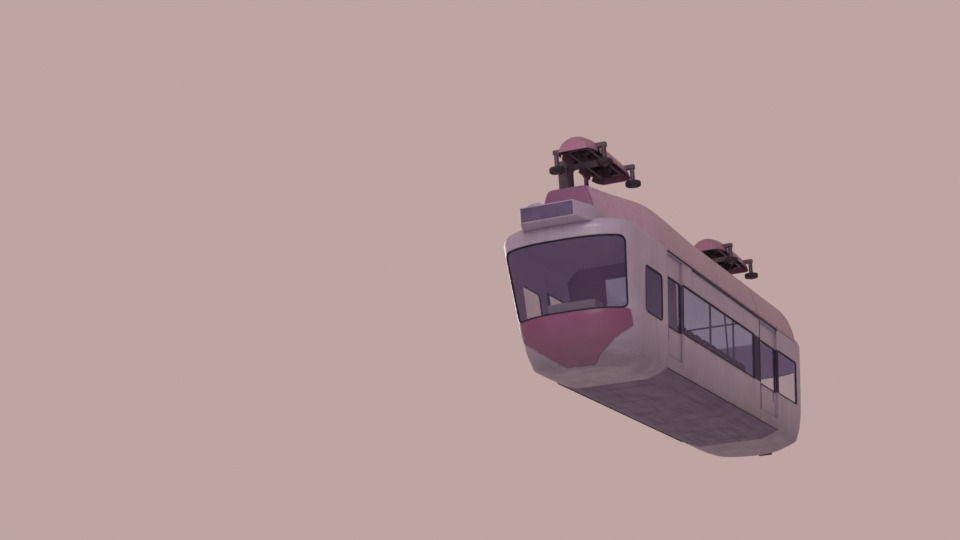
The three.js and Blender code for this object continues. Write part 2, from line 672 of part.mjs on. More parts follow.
function bogieFrame() {
  const frameLevels = [FRAME.low, FRAME.high];
  const middle = [-CROSSBEAM.middle, CROSSBEAM.middle];
  const parts = [
    alongX(armOutline, -ARM.half, ARM.half),
    box(middle, [-FRAME.far, FRAME.far], frameLevels),
    rod(PIVOT.pin, PIVOT.headLow + 5, ARM.low + 20, PIVOT_SIDES, true),
    rod(COLLAR, BLOCK.top + RUN_GAP, ARM.low + 10, PIVOT_SIDES, true),
    rod(PIVOT.head, PIVOT.headLow, PIVOT.ledge - RUN_GAP, PIVOT_SIDES, true),
  ];
  const sideMember = box([-FRAME.end, FRAME.end], [FRAME.near, FRAME.far], frameLevels);
  const endBeam = box([FRAME.end - CROSSBEAM.thick, FRAME.end], [-FRAME.far, FRAME.far], frameLevels);
  const wheelTop = GUIDE.z + GUIDE.half + RUN_GAP;
  const wheelLow = GUIDE.z - GUIDE.half - RUN_GAP;
  const guideMount = [
    box(
      [GUIDE.x - BRACKET.half, GUIDE.x + BRACKET.half],
      [FRAME.far - BRACKET.joins, GUIDE.y + BRACKET.half],
      [BRACKET.low, FRAME.high],
    ),
    rod(GUIDE.hub, wheelTop, BRACKET.low + 10, PIN_SIDES, true).translate([GUIDE.x, GUIDE.y, 0]),
    rod(GUIDE.pin, wheelLow - 20, BRACKET.low, PIN_SIDES, true).translate([GUIDE.x, GUIDE.y, 0]),
    rod(GUIDE.hub, wheelLow - 25, wheelLow, PIN_SIDES, true).translate([GUIDE.x, GUIDE.y, 0]),
  ];
  const mirrorX = (made) => made.mirror([1, 0, 0]);
  parts.push(sideMember, mirrorY(sideMember), endBeam, mirrorX(endBeam));
  for (const piece of guideMount) {
    parts.push(piece, mirrorY(piece), mirrorX(piece), mirrorX(mirrorY(piece)));
  }
  const bore = rod(AXLE.bore, -AXLE.half, AXLE.half, WHEEL_SIDES, false);
  return [-WHEELBASE_HALF, WHEELBASE_HALF].reduce(
    (made, x) => made.subtract(bore.translate([x, 0, AXLE_Z])), union(parts));
}

// Cover over the top of a bogie: half round, notched for the brackets and the arm.
const COVER = { low: BEAM_TOP + 60, thick: 20, steps: 9, notch: 8 };
const COVER_STATIONS = [
  // x, radius
  [-1200, 270],
  [-1080, 350],
  [-780, 395],
  [0, 408],
  [780, 395],
  [1080, 350],
  [1200, 270],
];
function coverForm(inset) {
  const rings = COVER_STATIONS.map(([x, radius], i) => {
    const isEnd = i === 0 || i === COVER_STATIONS.length - 1;
    const along = isEnd ? x - Math.sign(x) * inset : x;
    const low = COVER.low - inset - BEAM_TOP;
    const start = Math.asin(low / (radius - inset));
    return Array.from({ length: COVER.steps + 1 }, (_, k) => {
      const angle = start + ((Math.PI - 2 * start) * k) / COVER.steps;
      const reach = radius - inset;
      return [along, reach * Math.cos(angle), BEAM_TOP + reach * Math.sin(angle)];
    });
  });
  return loft(rings, [1, 2]);
}
function bogieCover() {
  const notchLow = COVER.low - 50;
  const reach = BRACKET.half + COVER.notch;
  let made = coverForm(0).subtract(coverForm(COVER.thick));
  for (const x of [-GUIDE.x, GUIDE.x]) {
    const notch = box([x - reach, x + reach], [-BIG, BIG], [notchLow, FRAME.high + SEAT_GAP]);
    made = made.subtract(notch);
  }
  const armReach = ARM.half + COVER.notch;
  return made.subtract(
    box([-armReach, armReach], [-BIG, 0], [notchLow, FRAME.high + COVER.notch]));
}

for (const [end, x] of [["front", PIVOT_X], ["rear", -PIVOT_X]]) {
  const bogie = new THREE.Group();
  bogie.position.x = x;
  car.add(bogie);
  place(bogie, `bogie_${end}_frame`, bogieFrame(), "steel");
  place(bogie, `bogie_${end}_cover`, bogieCover(), "cover");
  [WHEELBASE_HALF, -WHEELBASE_HALF].forEach((along, i) => {
    const wheel = new THREE.Group();
    wheel.position.set(along, 0, AXLE_Z);
    bogie.add(wheel);
    place(wheel, `axle_${end}_${i + 1}`, turned(wheelProfile, WHEEL_SIDES, false), "steel");
    place(wheel, `tyre_${end}_${i + 1}`, turned(tyreProfile, WHEEL_SIDES, false), "rubber");
  });
  const corners = [[1, 1], [1, -1], [-1, 1], [-1, -1]];
  corners.forEach(([along, side], i) => {
    const guide = new THREE.Group();
    guide.position.set(along * GUIDE.x, side * GUIDE.y, GUIDE.z);
    bogie.add(guide);
    place(guide, `guide_wheel_${end}_${i + 1}`, turned(guideProfile, GUIDE_SIDES, true), "rubber");
  });
}

export default car;
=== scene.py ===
"""The lead car of a suspended monorail, dressed on its frame: metres, +X forward, +Y left, +Z up.

Heights named here are measured from the lower edge of the car's side skirts.
"""

import bmesh
import bpy
import numpy as np
from mathutils import Matrix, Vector
from mathutils.geometry import delaunay_2d_cdt


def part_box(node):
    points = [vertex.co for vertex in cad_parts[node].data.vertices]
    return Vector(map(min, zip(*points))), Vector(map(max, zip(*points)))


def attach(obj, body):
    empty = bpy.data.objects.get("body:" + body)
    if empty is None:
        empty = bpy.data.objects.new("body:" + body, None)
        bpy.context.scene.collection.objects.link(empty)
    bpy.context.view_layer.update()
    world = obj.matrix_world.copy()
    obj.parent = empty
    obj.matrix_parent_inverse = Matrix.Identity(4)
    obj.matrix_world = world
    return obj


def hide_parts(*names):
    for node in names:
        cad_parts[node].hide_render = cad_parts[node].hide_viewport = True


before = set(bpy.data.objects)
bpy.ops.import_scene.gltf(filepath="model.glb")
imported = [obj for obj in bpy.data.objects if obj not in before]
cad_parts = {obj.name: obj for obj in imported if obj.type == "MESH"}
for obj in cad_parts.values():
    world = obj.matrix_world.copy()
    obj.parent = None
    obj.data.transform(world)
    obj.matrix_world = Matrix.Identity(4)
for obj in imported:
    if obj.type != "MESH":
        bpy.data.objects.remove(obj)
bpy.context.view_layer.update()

# View: from the ground ahead of the car, 43 m from its middle, through a long lens that is turned
# up towards the nose. The angles and the place come from lines of the car itself.
IMAGE_WIDTH = 960
FOCAL_PIXELS = 2100
SENSOR_WIDTH = 36.0
EYE = (39.9743, 12.177, -11.9194)
YAW, PITCH, ROLL = np.radians([202.1963, 14.9462, -3.3077])
ahead = np.array([np.cos(YAW) * np.cos(PITCH), np.sin(YAW) * np.cos(PITCH), np.sin(PITCH)])
level_right = np.cross(ahead, [0, 0, 1])
level_right /= np.linalg.norm(level_right)
level_up = np.cross(level_right, ahead)
right = np.cos(ROLL) * level_right + np.sin(ROLL) * level_up
up = np.cos(ROLL) * level_up - np.sin(ROLL) * level_right
lens = bpy.data.cameras.new("view_from_ground")
lens.sensor_width = SENSOR_WIDTH
lens.lens = FOCAL_PIXELS * SENSOR_WIDTH / IMAGE_WIDTH
lens.clip_end = 500
camera = bpy.data.objects.new("view_from_ground", lens)
camera.matrix_world = Matrix(np.vstack([np.c_[right, up, -ahead, EYE], [0, 0, 0, 1]]).tolist())
bpy.context.scene.collection.objects.link(camera)
bpy.context.scene.camera = camera


# Floor and light: a pale level floor at the foot of the camera, an even overcast sky, and two
# broad soft lamps, one before the nose and a weaker one behind the tail on the car's right.
class Wire:
    """One output of a shader node. Python's operators on it add Math nodes to the same tree."""

    def __init__(self, tree, socket=None):
        self.tree = tree
        self.socket = socket

    def node(self, kind, settings=None, sockets=None, out=0):
        """Adds a node: first its settings and ramp stops, then the values or wires of its sockets."""
        made = self.tree.nodes.new(kind)
        settings = dict(settings or {})
        stops = settings.pop("stops", [])
        for key, value in settings.items():
            setattr(made, key, value)
        for number, (place, tone) in enumerate(stops):
            ramp = made.color_ramp.elements
            stop = ramp[number] if number < len(ramp) else ramp.new(place)
            stop.position = place
            stop.color = (*tone, 1)
        for key, value in (sockets or {}).items():
            if isinstance(value, Wire):
                self.tree.links.new(value.socket, made.inputs[key])
            else:
                made.inputs[key].default_value = value
        return Wire(self.tree, made.outputs[out])

    def into(self, socket):
        """Links the output to a shader's socket."""
        self.tree.links.new(self.socket, socket)

    def math(self, operation, a, b=0.0):
        """A Math node on two values or wires."""
        return self.node("ShaderNodeMath", {"operation": operation}, {0: a, 1: b})

    def __add__(self, other):
        return self.math("ADD", self, other)

    def __sub__(self, other):
        return self.math("SUBTRACT", self, other)

    def __rsub__(self, other):
        return self.math("SUBTRACT", other, self)

    def __mul__(self, other):
        return self.math("MULTIPLY", self, other)

    def __truediv__(self, other):
        return self.math("DIVIDE", self, other)

    __radd__ = __add__
    __rmul__ = __mul__


def open_finish(name, **constants):
    """A material whose shader's own sockets hold the constants. Gives it, the sockets, and a wire
    that holds the place on the object, in metres."""
    finish = bpy.data.materials.new(name)
    finish.use_nodes = True
    sockets = finish.node_tree.nodes["Principled BSDF"].inputs
    for socket, value in constants.items():
        sockets[socket.replace("_", " ")].default_value = value
    return finish, sockets, Wire(finish.node_tree).node("ShaderNodeTexCoord", out="Object")


def mix(share, a, b):
    """Colour from a to b as the share goes from 0 to 1; a colour is a wire or three numbers."""
    factor, first, second, result = 0, 6, 7, 2
    a, b = [c if isinstance(c, Wire) else (*c, 1) for c in (a, b)]
    settings = {"data_type": "RGBA"}
    return share.node("ShaderNodeMix", settings, {factor: share, first: a, second: b}, result)


def step_between(wire, low, high):
    """Smooth step from 0 to 1 as the wire's value goes from low to high."""
    settings = {"interpolation_type": "SMOOTHSTEP"}
    return wire.node("ShaderNodeMapRange", settings, {"Value": wire, 1: low, 2: high})


def coordinate(place, axis):
    """One number of a place: 0, 1 or 2 for x, y or z."""
    return place.node("ShaderNodeSeparateXYZ", None, {0: place}, axis)


def grain(place, size, detail=2.0):
    """Noise from 0 to 1 with features of a size in metres, one number or one for each axis."""
    scale = (1 / np.broadcast_to(size, 3)).tolist()
    spot = place.node("ShaderNodeMapping", None, {"Vector": place, "Scale": scale})
    return spot.node("ShaderNodeTexNoise", None, {"Vector": spot, "Scale": 1.0, "Detail": detail})


def patches(place, size, detail, low, high):
    """Soft patches: 0 where a noise of that size is under low, 1 where it is over high."""
    return step_between(grain(place, size, detail), low, high)


def bump(height, depth):
    """Relief: a height from 0 to 1 stands for that depth in metres."""
    return height.node("ShaderNodeBump", None, {"Distance": depth, "Height": height})


def floor_finish():
    """Pale cast floor: faint broad clouds and a fine tooth."""
    finish, sockets, place = open_finish("pale_floor", Roughness=0.8)
    cloud = grain(place, 3.0)
    mix(cloud, (0.84, 0.80, 0.82), (0.90, 0.86, 0.88)).into(sockets["Base Color"])
    bump(grain(place, 0.05), 0.002).into(sockets["Normal"])
    return finish


def add_mesh(name, points, faces, finish):
    """A mesh object at the origin from an array of points and lists of corners."""
    mesh = bpy.data.meshes.new(name)
    mesh.from_pydata(np.asarray(points).tolist(), [], faces)
    mesh.materials.append(finish)
    piece = bpy.data.objects.new(name, mesh)
    bpy.context.scene.collection.objects.link(piece)
    return piece


EYE_OVER_FLOOR, FLOOR_REACH = 0.03, 250.0
floor_corners = np.array([[-1, -1, 0], [1, -1, 0], [1, 1, 0], [-1, 1, 0]]) * FLOOR_REACH
floor_corners[:, 2] = EYE[2] - EYE_OVER_FLOOR
add_mesh("floor", floor_corners, [[0, 1, 2, 3]], floor_finish())

SKY = (0.515, 0.376, 0.362)
SKY_LIGHT = 0.72
world = bpy.data.worlds.new("overcast")
world.use_nodes = True
bpy.context.scene.world = world
sky = world.node_tree.nodes["Background"].inputs
sky["Color"].default_value = (*SKY, 1)
seen = Wire(world.node_tree).node("ShaderNodeLightPath", out="Is Camera Ray")
(seen * (1 - SKY_LIGHT) + SKY_LIGHT).into(sky["Strength"])

LAMPS = (
    # name, place, watts
    ("lamp_ahead", (40.0, 7.0, 7.0), 3400),
    ("lamp_behind", (-34.0, -36.0, 12.0), 2600),
)
LAMP_SIZE, LAMP_TONE = 18.0, (1.0, 0.93, 0.92)
CAR_MIDDLE = (0, 0, -2)
for name, place, watts in LAMPS:
    light = bpy.data.lights.new(name, "AREA")
    light.shape = "DISK"
    light.size = LAMP_SIZE
    light.energy = watts
    light.color = LAMP_TONE
    lamp = bpy.data.objects.new(name, light)
    towards = np.subtract(place, CAR_MIDDLE)
    towards /= np.linalg.norm(towards)
    across = np.cross([0, 0, 1], towards)
    across /= np.linalg.norm(across)
    axes = np.c_[across, np.cross(towards, across), towards, place]
    lamp.matrix_world = Matrix(np.vstack([axes, [0, 0, 0, 1]]).tolist())
    bpy.context.scene.collection.objects.link(lamp)
bpy.context.scene.view_settings.view_transform = "Standard"


# Nose moulding: one glass fibre shell, gloss painted, with a rounded plan that is squarer at the
# waist than at the chin. It is bolted to the front door posts, and its openings are cut after.
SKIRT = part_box("side_left")[0].z
HALF_LENGTH = 6.25
NOSE_ROOT = 4.0003
WALL = 0.04
FORM = np.array([
    # height, half width, tuck of the tip, depth and power of the plan curve, 1 or -1 on a lid
    [-0.160, 0.000, 1.100, 0.300, 2.00, -1],
    [-0.160, 0.700, 0.640, 0.560, 2.00, -1],
    [-0.070, 0.940, 0.450, 0.760, 2.00, 0],
    [0.000, 1.080, 0.320, 0.900, 2.10, 0],
    [0.310, 1.120, 0.090, 0.940, 2.30, 0],
    [0.740, 1.150, 0.000, 0.900, 2.60, 0],
    [1.980, 1.235, 0.000, 0.850, 2.65, 0],
    [2.200, 1.250, 0.000, 0.850, 2.60, 0],
    [2.300, 1.215, 0.035, 0.830, 2.60, 0],
    [2.365, 1.110, 0.130, 0.780, 2.60, 0],
    [2.400, 0.930, 0.300, 0.680, 2.40, 1],
    [2.400, 0.000, 0.900, 0.300, 2.40, 1],
])
HEIGHT, HALF, TUCK, DEPTH, POWER, LID = range(6)
GIRTH = np.r_[0, np.cumsum(np.hypot(*np.diff(FORM[:, :2], axis=0).T))]
full_girth = GIRTH[-1]
LEAN_FROM, LEAN_TO, LEAN_SLOPE = 0.74, 2.20, 200 / 1240
FOLD_LEVELS, FOLD_RADIUS = (0.05, 0.4), (0.014, 0.045)


def rounded_column(girth, column):
    """A column of the form along its girth: straight between rows, and the mean over a short
    window of girth near them, which rounds each fold, least at the skirt. Past a centre line
    the half width goes on with its sign turned, and the others are mirrored."""
    level = np.interp(girth, GIRTH, FORM[:, HEIGHT])
    window = np.interp(level, FOLD_LEVELS, FOLD_RADIUS)
    shares = np.linspace(-1, 1, 9).reshape(-1, *[1] * np.ndim(girth))
    past = -1 if column == HALF else 1
    run = np.r_[-GIRTH[1], GIRTH, 2 * GIRTH[-1] - GIRTH[-2]]
    values = np.r_[past * FORM[1, column], FORM[:, column], past * FORM[-2, column]]
    return np.interp(girth + shares * window, run, values).mean(axis=0)


def flowing_column(girth, column):
    """A column of the form as one smooth curve through its rows: cubic pieces whose slope at a
    row is the harmonic mean of the slopes on either side, or level at a turning point."""
    step = np.diff(GIRTH)
    slope = np.diff(FORM[:, column]) / step
    same_way = slope[1:] * slope[:-1] > 0
    total = np.where(same_way, slope[1:] + slope[:-1], 1)
    inner = np.where(same_way, 2 * slope[1:] * slope[:-1] / total, 0)
    tangent = np.r_[slope[0], inner, slope[-1]]
    i = np.clip(np.searchsorted(GIRTH, girth) - 1, 0, len(step) - 1)
    t = np.clip((girth - GIRTH[i]) / step[i], 0, 1)
    low, high = FORM[i, column], FORM[i + 1, column]
    return (
        (1 + 2 * t) * (1 - t) ** 2 * low + t * (1 - t) ** 2 * step[i] * tangent[i]
        + t ** 2 * (3 - 2 * t) * high + t ** 2 * (t - 1) * step[i] * tangent[i + 1]
    )


def girth_at(height):
    """Girth at which the form's side reaches a height between its two lids."""
    return np.interp(height, FORM[1:-1, HEIGHT], GIRTH[1:-1])


TURN_LENGTH = 1.6


class End:
    """The curved surface of one end of the body.

    Its first parameter runs round the plan: up to TURN_LENGTH it is the angle of a superellipse,
    x = tip - depth (1 - cos(angle)^(2/power)), y = half width sin(angle)^(2/power), and from there
    to twice TURN_LENGTH the straight side back to the root. The second is the form's girth.
    """

    def __init__(self, way, root):
        self.way = way
        self.root = root

    def plan(self, girth, depth_in):
        """Half width, tip, depth and power of the plan curve at a girth."""
        level = np.interp(girth, GIRTH, FORM[:, HEIGHT])
        lean = LEAN_SLOPE * (np.clip(level, LEAN_FROM, LEAN_TO) - LEAN_FROM) * (self.way > 0)
        half = np.maximum(rounded_column(girth, HALF) - depth_in, 0)
        tip = HALF_LENGTH + lean - flowing_column(girth, TUCK) - depth_in
        return half, tip, flowing_column(girth, DEPTH), flowing_column(girth, POWER)

    def __call__(self, turn, girth, depth_in):
        half, tip, depth, power = self.plan(girth, depth_in)
        share = np.abs(turn) / TURN_LENGTH
        angle = np.clip(share, 0, 1) * np.pi / 2
        x = tip - depth * (1 - np.clip(np.cos(angle), 0, 1) ** (2 / power))
        x = x + (self.root - x) * np.clip(share - 1, 0, 1)
        y = np.sign(turn) * half * np.sin(angle) ** (2 / power)
        z = rounded_column(girth, HEIGHT) - rounded_column(girth, LID) * depth_in
        return np.stack([self.way * x, y, z + SKIRT], axis=-1)

    def from_front(self, outline):
        """Parameters of an outline whose columns are y and height, seen along X."""
        y, height = outline.T
        girth = girth_at(height)
        half, _, _, power = self.plan(girth, 0)
        angle = np.arcsin(np.clip(np.abs(y) / half, 0, 1) ** (power / 2))
        return np.c_[np.sign(y) * angle / (np.pi / 2) * TURN_LENGTH, girth]

    def from_side(self, outline, side):
        """Parameters of an outline whose columns are x and height, seen along Y."""
        x, height = outline.T
        girth = girth_at(height)
        _, tip, depth, power = self.plan(girth, 0)
        back = (tip - x * self.way) / depth
        angle = np.arccos(np.clip(1 - back, 0, 1) ** (power / 2))
        straight = (tip - depth - x * self.way) / (tip - depth - self.root)
        share = np.where(back < 1, angle / (np.pi / 2), 1 + straight)
        return np.c_[side * share * TURN_LENGTH, girth]


def spaced(loop, gap):
    """A closed row of points with more set in between, so that none are further apart than gap."""
    closed = np.vstack([loop, loop[:1]])
    length = np.r_[0, np.cumsum(np.linalg.norm(np.diff(closed, axis=0), axis=1))]
    counts = np.maximum(np.ceil(np.diff(length) / gap), 1).astype(int)
    starts = np.repeat(length[:-1], counts)
    within = np.arange(counts.sum()) - np.repeat(np.cumsum(counts) - counts, counts)
    marks = starts + within * np.repeat(np.diff(length) / counts, counts)
    return np.stack([np.interp(marks, length, column) for column in closed.T], axis=-1)


def rounded(corners, radius, steps=10):
    """An outline whose corners are quadratic arcs that begin a radius away from each corner."""
    corners = np.asarray(corners, float)
    t = np.linspace(0, 1, steps + 1)[None, :, None]
    before = np.roll(corners, 1, axis=0) - corners
    after = np.roll(corners, -1, axis=0) - corners
    lengths = [np.linalg.norm(v, axis=1, keepdims=True) for v in (before, after)]
    reach = np.minimum(radius, np.minimum(*lengths) / 2)
    start = (corners + before / lengths[0] * reach)[:, None]
    end = (corners + after / lengths[1] * reach)[:, None]
    arcs = (1 - t) ** 2 * start + 2 * t * (1 - t) * corners[:, None] + t ** 2 * end
    return arcs.reshape(-1, 2)


def soft_outline(corners, radius, gap=0.02):
    """An outline with rounded corners whose points are no further apart than a gap."""
    return spaced(rounded(corners, radius), gap)


def inside(points, loops):
    """True for points enclosed by an odd number of loops."""
    found = np.zeros(len(points), bool)
    px, py = points.T
    for loop in loops:
        (ax, ay), (bx, by) = loop.T[:, :, None], np.roll(loop, -1, axis=0).T[:, :, None]
        crosses = (ay > py) != (by > py)
        rise = np.where(by == ay, 1, by - ay)
        found ^= (crosses & (px < ax + (py - ay) / rise * (bx - ax))).sum(axis=0) % 2 == 1
    return found


def nearest(points, loops):
    """Distance of each point from the closest edge of the loops."""
    best = np.full(len(points), np.inf)
    for loop in loops:
        start = loop[:, None]
        run = (np.roll(loop, -1, axis=0) - loop)[:, None]
        share = ((points - start) * run).sum(-1) / np.maximum((run ** 2).sum(-1), 1e-12)
        gap = np.linalg.norm(points - start - np.clip(share, 0, 1)[..., None] * run, axis=-1)
        best = np.minimum(best, gap.min(axis=0))
    return best


SEAM_REACH = 0.06
GRID_CLEARANCE = 0.45


def walled_cut(surface, loops, layers, spacing, seams=()):
    """Cuts loops out of a surface and gives the cut sheet a wall.

    The first loop is the outline and the others are holes, in the surface's two parameters. They
    are triangulated with a grid of inner points, lifted to an outer and an inner layer, and every
    free edge is closed by a strip between the two. Its marks tell the inner layer, and how close
    a point is to the seams, which are the loops where no others are given.
    """
    loops = [spaced(loop, spacing) for loop in loops]
    low, high = loops[0].min(axis=0), loops[0].max(axis=0)
    counts = np.maximum(np.ceil((high - low) / spacing).astype(int), 2)
    axes = [np.linspace(low[k], high[k], counts[k] + 1)[1:-1] for k in (0, 1)]
    grid = np.stack(np.meshgrid(*axes), axis=-1).reshape(-1, 2)
    grid = grid[inside(grid, loops)]
    grid = grid[nearest(grid, loops) > GRID_CLEARANCE * spacing]
    sizes = [len(loop) for loop in loops]
    firsts = np.repeat(np.cumsum(sizes) - sizes, sizes)
    number = np.arange(sum(sizes))
    following = firsts + (number - firsts + 1) % np.repeat(sizes, sizes)
    points = np.vstack([*loops, grid]).tolist()
    edges = np.c_[number, following].tolist()
    flat, _, corners, *_ = delaunay_2d_cdt(points, edges, [], 0, 1e-7)
    flat = np.array([tuple(p) for p in flat])
    corners = np.array(corners)
    corners = corners[inside(flat[corners].mean(axis=1), loops)]
    outer, inner = [surface(*flat.T, depth) for depth in layers]
    _, first, merged = np.unique(
        np.round(outer, 5), axis=0, return_index=True, return_inverse=True)
    merged = merged.reshape(-1)
    corners = merged[corners]
    turning = np.roll(corners, -1, axis=1)
    corners = corners[(corners != turning).all(axis=1)]
    total = len(first)
    sides = np.vstack([corners[:, [0, 1]], corners[:, [1, 2]], corners[:, [2, 0]]])
    keys = np.sort(sides, axis=1) @ [total, 1]
    _, at, times = np.unique(keys, return_index=True, return_counts=True)
    a, b = sides[at[times == 1]].T
    faces = corners.tolist() + (corners[:, ::-1] + total).tolist()
    faces += np.c_[b, a, a + total, b + total].tolist()
    closeness = np.clip(1 - nearest(flat[first], seams or loops) / SEAM_REACH, 0, 1)
    marks = {"seam": np.tile(closeness, 2), "inner": np.repeat([0.0, 1.0], total)}
    return np.vstack([outer[first], inner[first]]), faces, marks


def fitted(name, points, faces, finish, body, slot, stands_for=(), marks=None, crease=38):
    """Makes one piece, closes its poles and turns its faces outwards, and fastens it to a body
    of the frame. The marks are numbers for each point that its finish reads."""
    piece = add_mesh(name, points, faces, finish)
    mesh = piece.data
    for mark, values in (marks or {}).items():
        mesh.attributes.new(mark, "FLOAT", "POINT").data.foreach_set("value", values)
    closed = bmesh.new()
    closed.from_mesh(mesh)
    bmesh.ops.remove_doubles(closed, verts=closed.verts, dist=1e-6)
    bmesh.ops.recalc_face_normals(closed, faces=closed.faces)
    closed.to_mesh(mesh)
    closed.free()
    mesh.polygons.foreach_set("use_smooth", np.ones(len(mesh.polygons), bool))
    mesh.set_sharp_from_angle(angle=np.radians(crease))
    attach(piece, body)
    if stands_for:
        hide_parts(*stands_for)
    return piece


def between(wire, low, high):
    """1 where the wire's value lies between low and high, and 0 elsewhere."""
    return wire.math("GREATER_THAN", wire, low) * wire.math("LESS_THAN", wire, high)


def mark_of(place, name):
    """A mark that a mesh carries for each of its points, from 0 to 1."""
    return place.node("ShaderNodeAttribute", {"attribute_name": name}, None, "Fac")


def coat(place, fresh, faded, streaks):
    """Gloss paint out of doors, as a colour and a dullness: it drifts from fresh to faded in
    broad clouds, rain leaves fine streaks down the sides, grime gathers along seams and in
    splashes low on the skirts, and the colour grows darker evenly towards the bottom."""
    height = coordinate(place, 2)
    cloud = patches(place, 1.1, 3, 0.35, 0.68)
    rain = patches(place, (0.07, 0.07, 1.3), 4, 0.50, 0.78)
    speckle = grain(place, 0.012, 3)
    # film: an even darkening of the colour towards the bottom of the skirts.
    film = step_between(height, *(SKIRT + level for level in LOW_DARKENING_LEVELS))
    splash = step_between(height, *(SKIRT + level for level in SPLASH_LEVELS))
    splash = splash * patches(place, (0.35, 0.35, 0.14), 4, 0.30, 0.70)
    seam = mark_of(place, "seam")
    caught = seam * seam * patches(place, 0.16, 4, 0.30, 0.62)
    colour = mix(cloud, fresh, faded)
    colour = mix(rain * streaks, colour, GRIME)
    colour = mix(film * 0.46 + splash * 0.14, colour, GRIME)
    colour = mix(caught * 0.55, colour, GRIME)
    dull = rain * 0.10 + speckle * 0.12 + film * 0.12 + splash * 0.15 + caught * 0.20
    return colour, dull, speckle * 0.05 + grain(place, 0.45, 1)


def weathered_paint(name, fresh, faded, rough, streaks, lining, trim=(), painted_glow=0.0):
    """A coat of paint with a matt lining on the inner face of a walled piece, in one tone for
    the ceiling, one for the sides, and a dark one over the cab and at the tail's end wall, which
    is painted shade. The lining also glows a little, which is painted light and not a lamp. Trim
    lies between pairs of x and of height, and black trim has no gloss coat."""
    finish, sockets, place = open_finish(
        name, Coat_Roughness=0.18, Coat_Weight=COAT_WEIGHT, Emission_Strength=painted_glow)
    x, y, z = [coordinate(place, axis) for axis in range(3)]
    colour, dull, relief = coat(place, fresh, faded, streaks)
    inner = mark_of(place, "inner")
    panel = step_between(y.math("ABSOLUTE", y), *SIDE_LINING_Y)
    # Painted shade: the lining takes its dark end tone over the cab and at the tail's end wall.
    shaded_ends = x.math("MAXIMUM", step_between(x, *CAB_SHADE_X), step_between(x, *TAIL_SHADE_X))
    lined = mix(shaded_ends, mix(panel, lining[0], lining[1]), lining[2])
    colour = mix(inner, colour, lined)
    lit = inner
    for (x0, x1), (low, high), tone in trim:
        here = between(x, x0, x1) * between(z, SKIRT + low, SKIRT + high)
        colour = mix(here, colour, tone)
        lit = lit * (1 - here)
        if tone == TRIM_BLACK:
            dull = dull + here * 0.25
            ((1 - here) * COAT_WEIGHT).into(sockets["Coat Weight"])
    colour.into(sockets["Base Color"])
    # Painted light: the lining's inner faces emit a little of their own colour wherever no trim lies.
    if painted_glow:
        mix(lit, (0, 0, 0), lined).into(sockets["Emission Color"])
    (dull + inner * 0.4 + rough).into(sockets["Roughness"])
    bump(relief, 0.004).into(sockets["Normal"])
    return finish


GRIME = (0.15, 0.115, 0.14)
COAT_WEIGHT = 0.25
# Where the lining takes its dark end tone, which is painted shade.
CAB_SHADE_X, TAIL_SHADE_X = (2.25, 2.35), (-5.35, -5.60)
TRIM_BLACK = (0.045, 0.030, 0.075)
TRIM_SOFT = (0.085, 0.062, 0.125)
# Painted shade: the end faces of the walls and mouldings at the door openings are greyed to stand for
# the shadow in the gap beside each door.
REVEAL_SHADE_GREY = (0.34, 0.29, 0.375)
LOW_DARKENING_LEVELS, SPLASH_LEVELS = (0.90, -0.08), (0.30, -0.12)
SIDE_LINING_Y = (0.86, 1.02)
WHITE_FRESH, WHITE_FADED = (0.52, 0.46, 0.62), (0.46, 0.40, 0.54)
# Lining tones for the ceiling, the sides and the ends; the dark end tone is painted shade.
LINING_WITH_SHADED_ENDS = ((0.78, 0.73, 0.92), (0.64, 0.59, 0.78), (0.28, 0.21, 0.35))
# Painted light: a faint glow of the lining that stands for daylight inside the car.
LINING_PAINTED_GLOW = 0.15
ALL_HEIGHTS = (-1, 4)
REVEAL_BAND = 0.0012


def body_white(name, rough=0.30, streaks=0.22, trim=()):
    """The body's off-white paint, over the car's lining."""
    return weathered_paint(
        name, WHITE_FRESH, WHITE_FADED, rough, streaks, LINING_WITH_SHADED_ENDS, trim, LINING_PAINTED_GLOW)


def trapezium(low, half_low, high, half_high):
    """Corners of an outline with two level edges, each at a height and of a half width."""
    return [[-half_low, low], [half_low, low], [half_high, high], [-half_high, high]]


def upright(x0, x1, low, high):
    """Corners of a rectangle between two places along and two heights."""
    return [[x0, low], [x1, low], [x1, high], [x0, high]]


def grown(outline, by):
    """An outline stretched about its middle, so that it reaches further by the same on all sides."""
    low, high = outline.min(axis=0), outline.max(axis=0)
    middle = (low + high) / 2
    return middle + (outline - middle) * (1 + 2 * by / (high - low))


SILL, WINDOW_TOP = 0.803, 1.736
WINDSHIELD = (0.745, 1.025, 2.0, 1.135)
CAB_WINDOW_X, CAB_WINDOW_TOP = (4.32, 5.26), 1.64
WINDOW_CORNER = 0.11
FINE = 0.045
nose = End(1, NOSE_ROOT)
windshield_cut = nose.from_front(soft_outline(trapezium(*WINDSHIELD), WINDOW_CORNER))
SHIELD = [
    [-1.055, 0.738], [-1.050, 0.440], [-0.270, -0.130],
    [0.270, -0.130], [1.050, 0.440], [1.055, 0.738],
]
shield_outline = spaced(rounded(SHIELD, 0.045, 5), 0.02)
cab_outline = soft_outline(upright(*CAB_WINDOW_X, SILL, CAB_WINDOW_TOP), WINDOW_CORNER)
cab_cuts = [nose.from_side(cab_outline, side) for side in (1, -1)]
around = np.array(upright(-2 * TURN_LENGTH, 2 * TURN_LENGTH, 0, full_girth))
roots = [around[1:3] * [way, 1] for way in (1, -1)]
nose_cuts = [windshield_cut, nose.from_front(shield_outline), *cab_cuts]
points, faces, marks = walled_cut(
    nose, [around, *nose_cuts], (0, WALL), FINE, nose_cuts + roots)
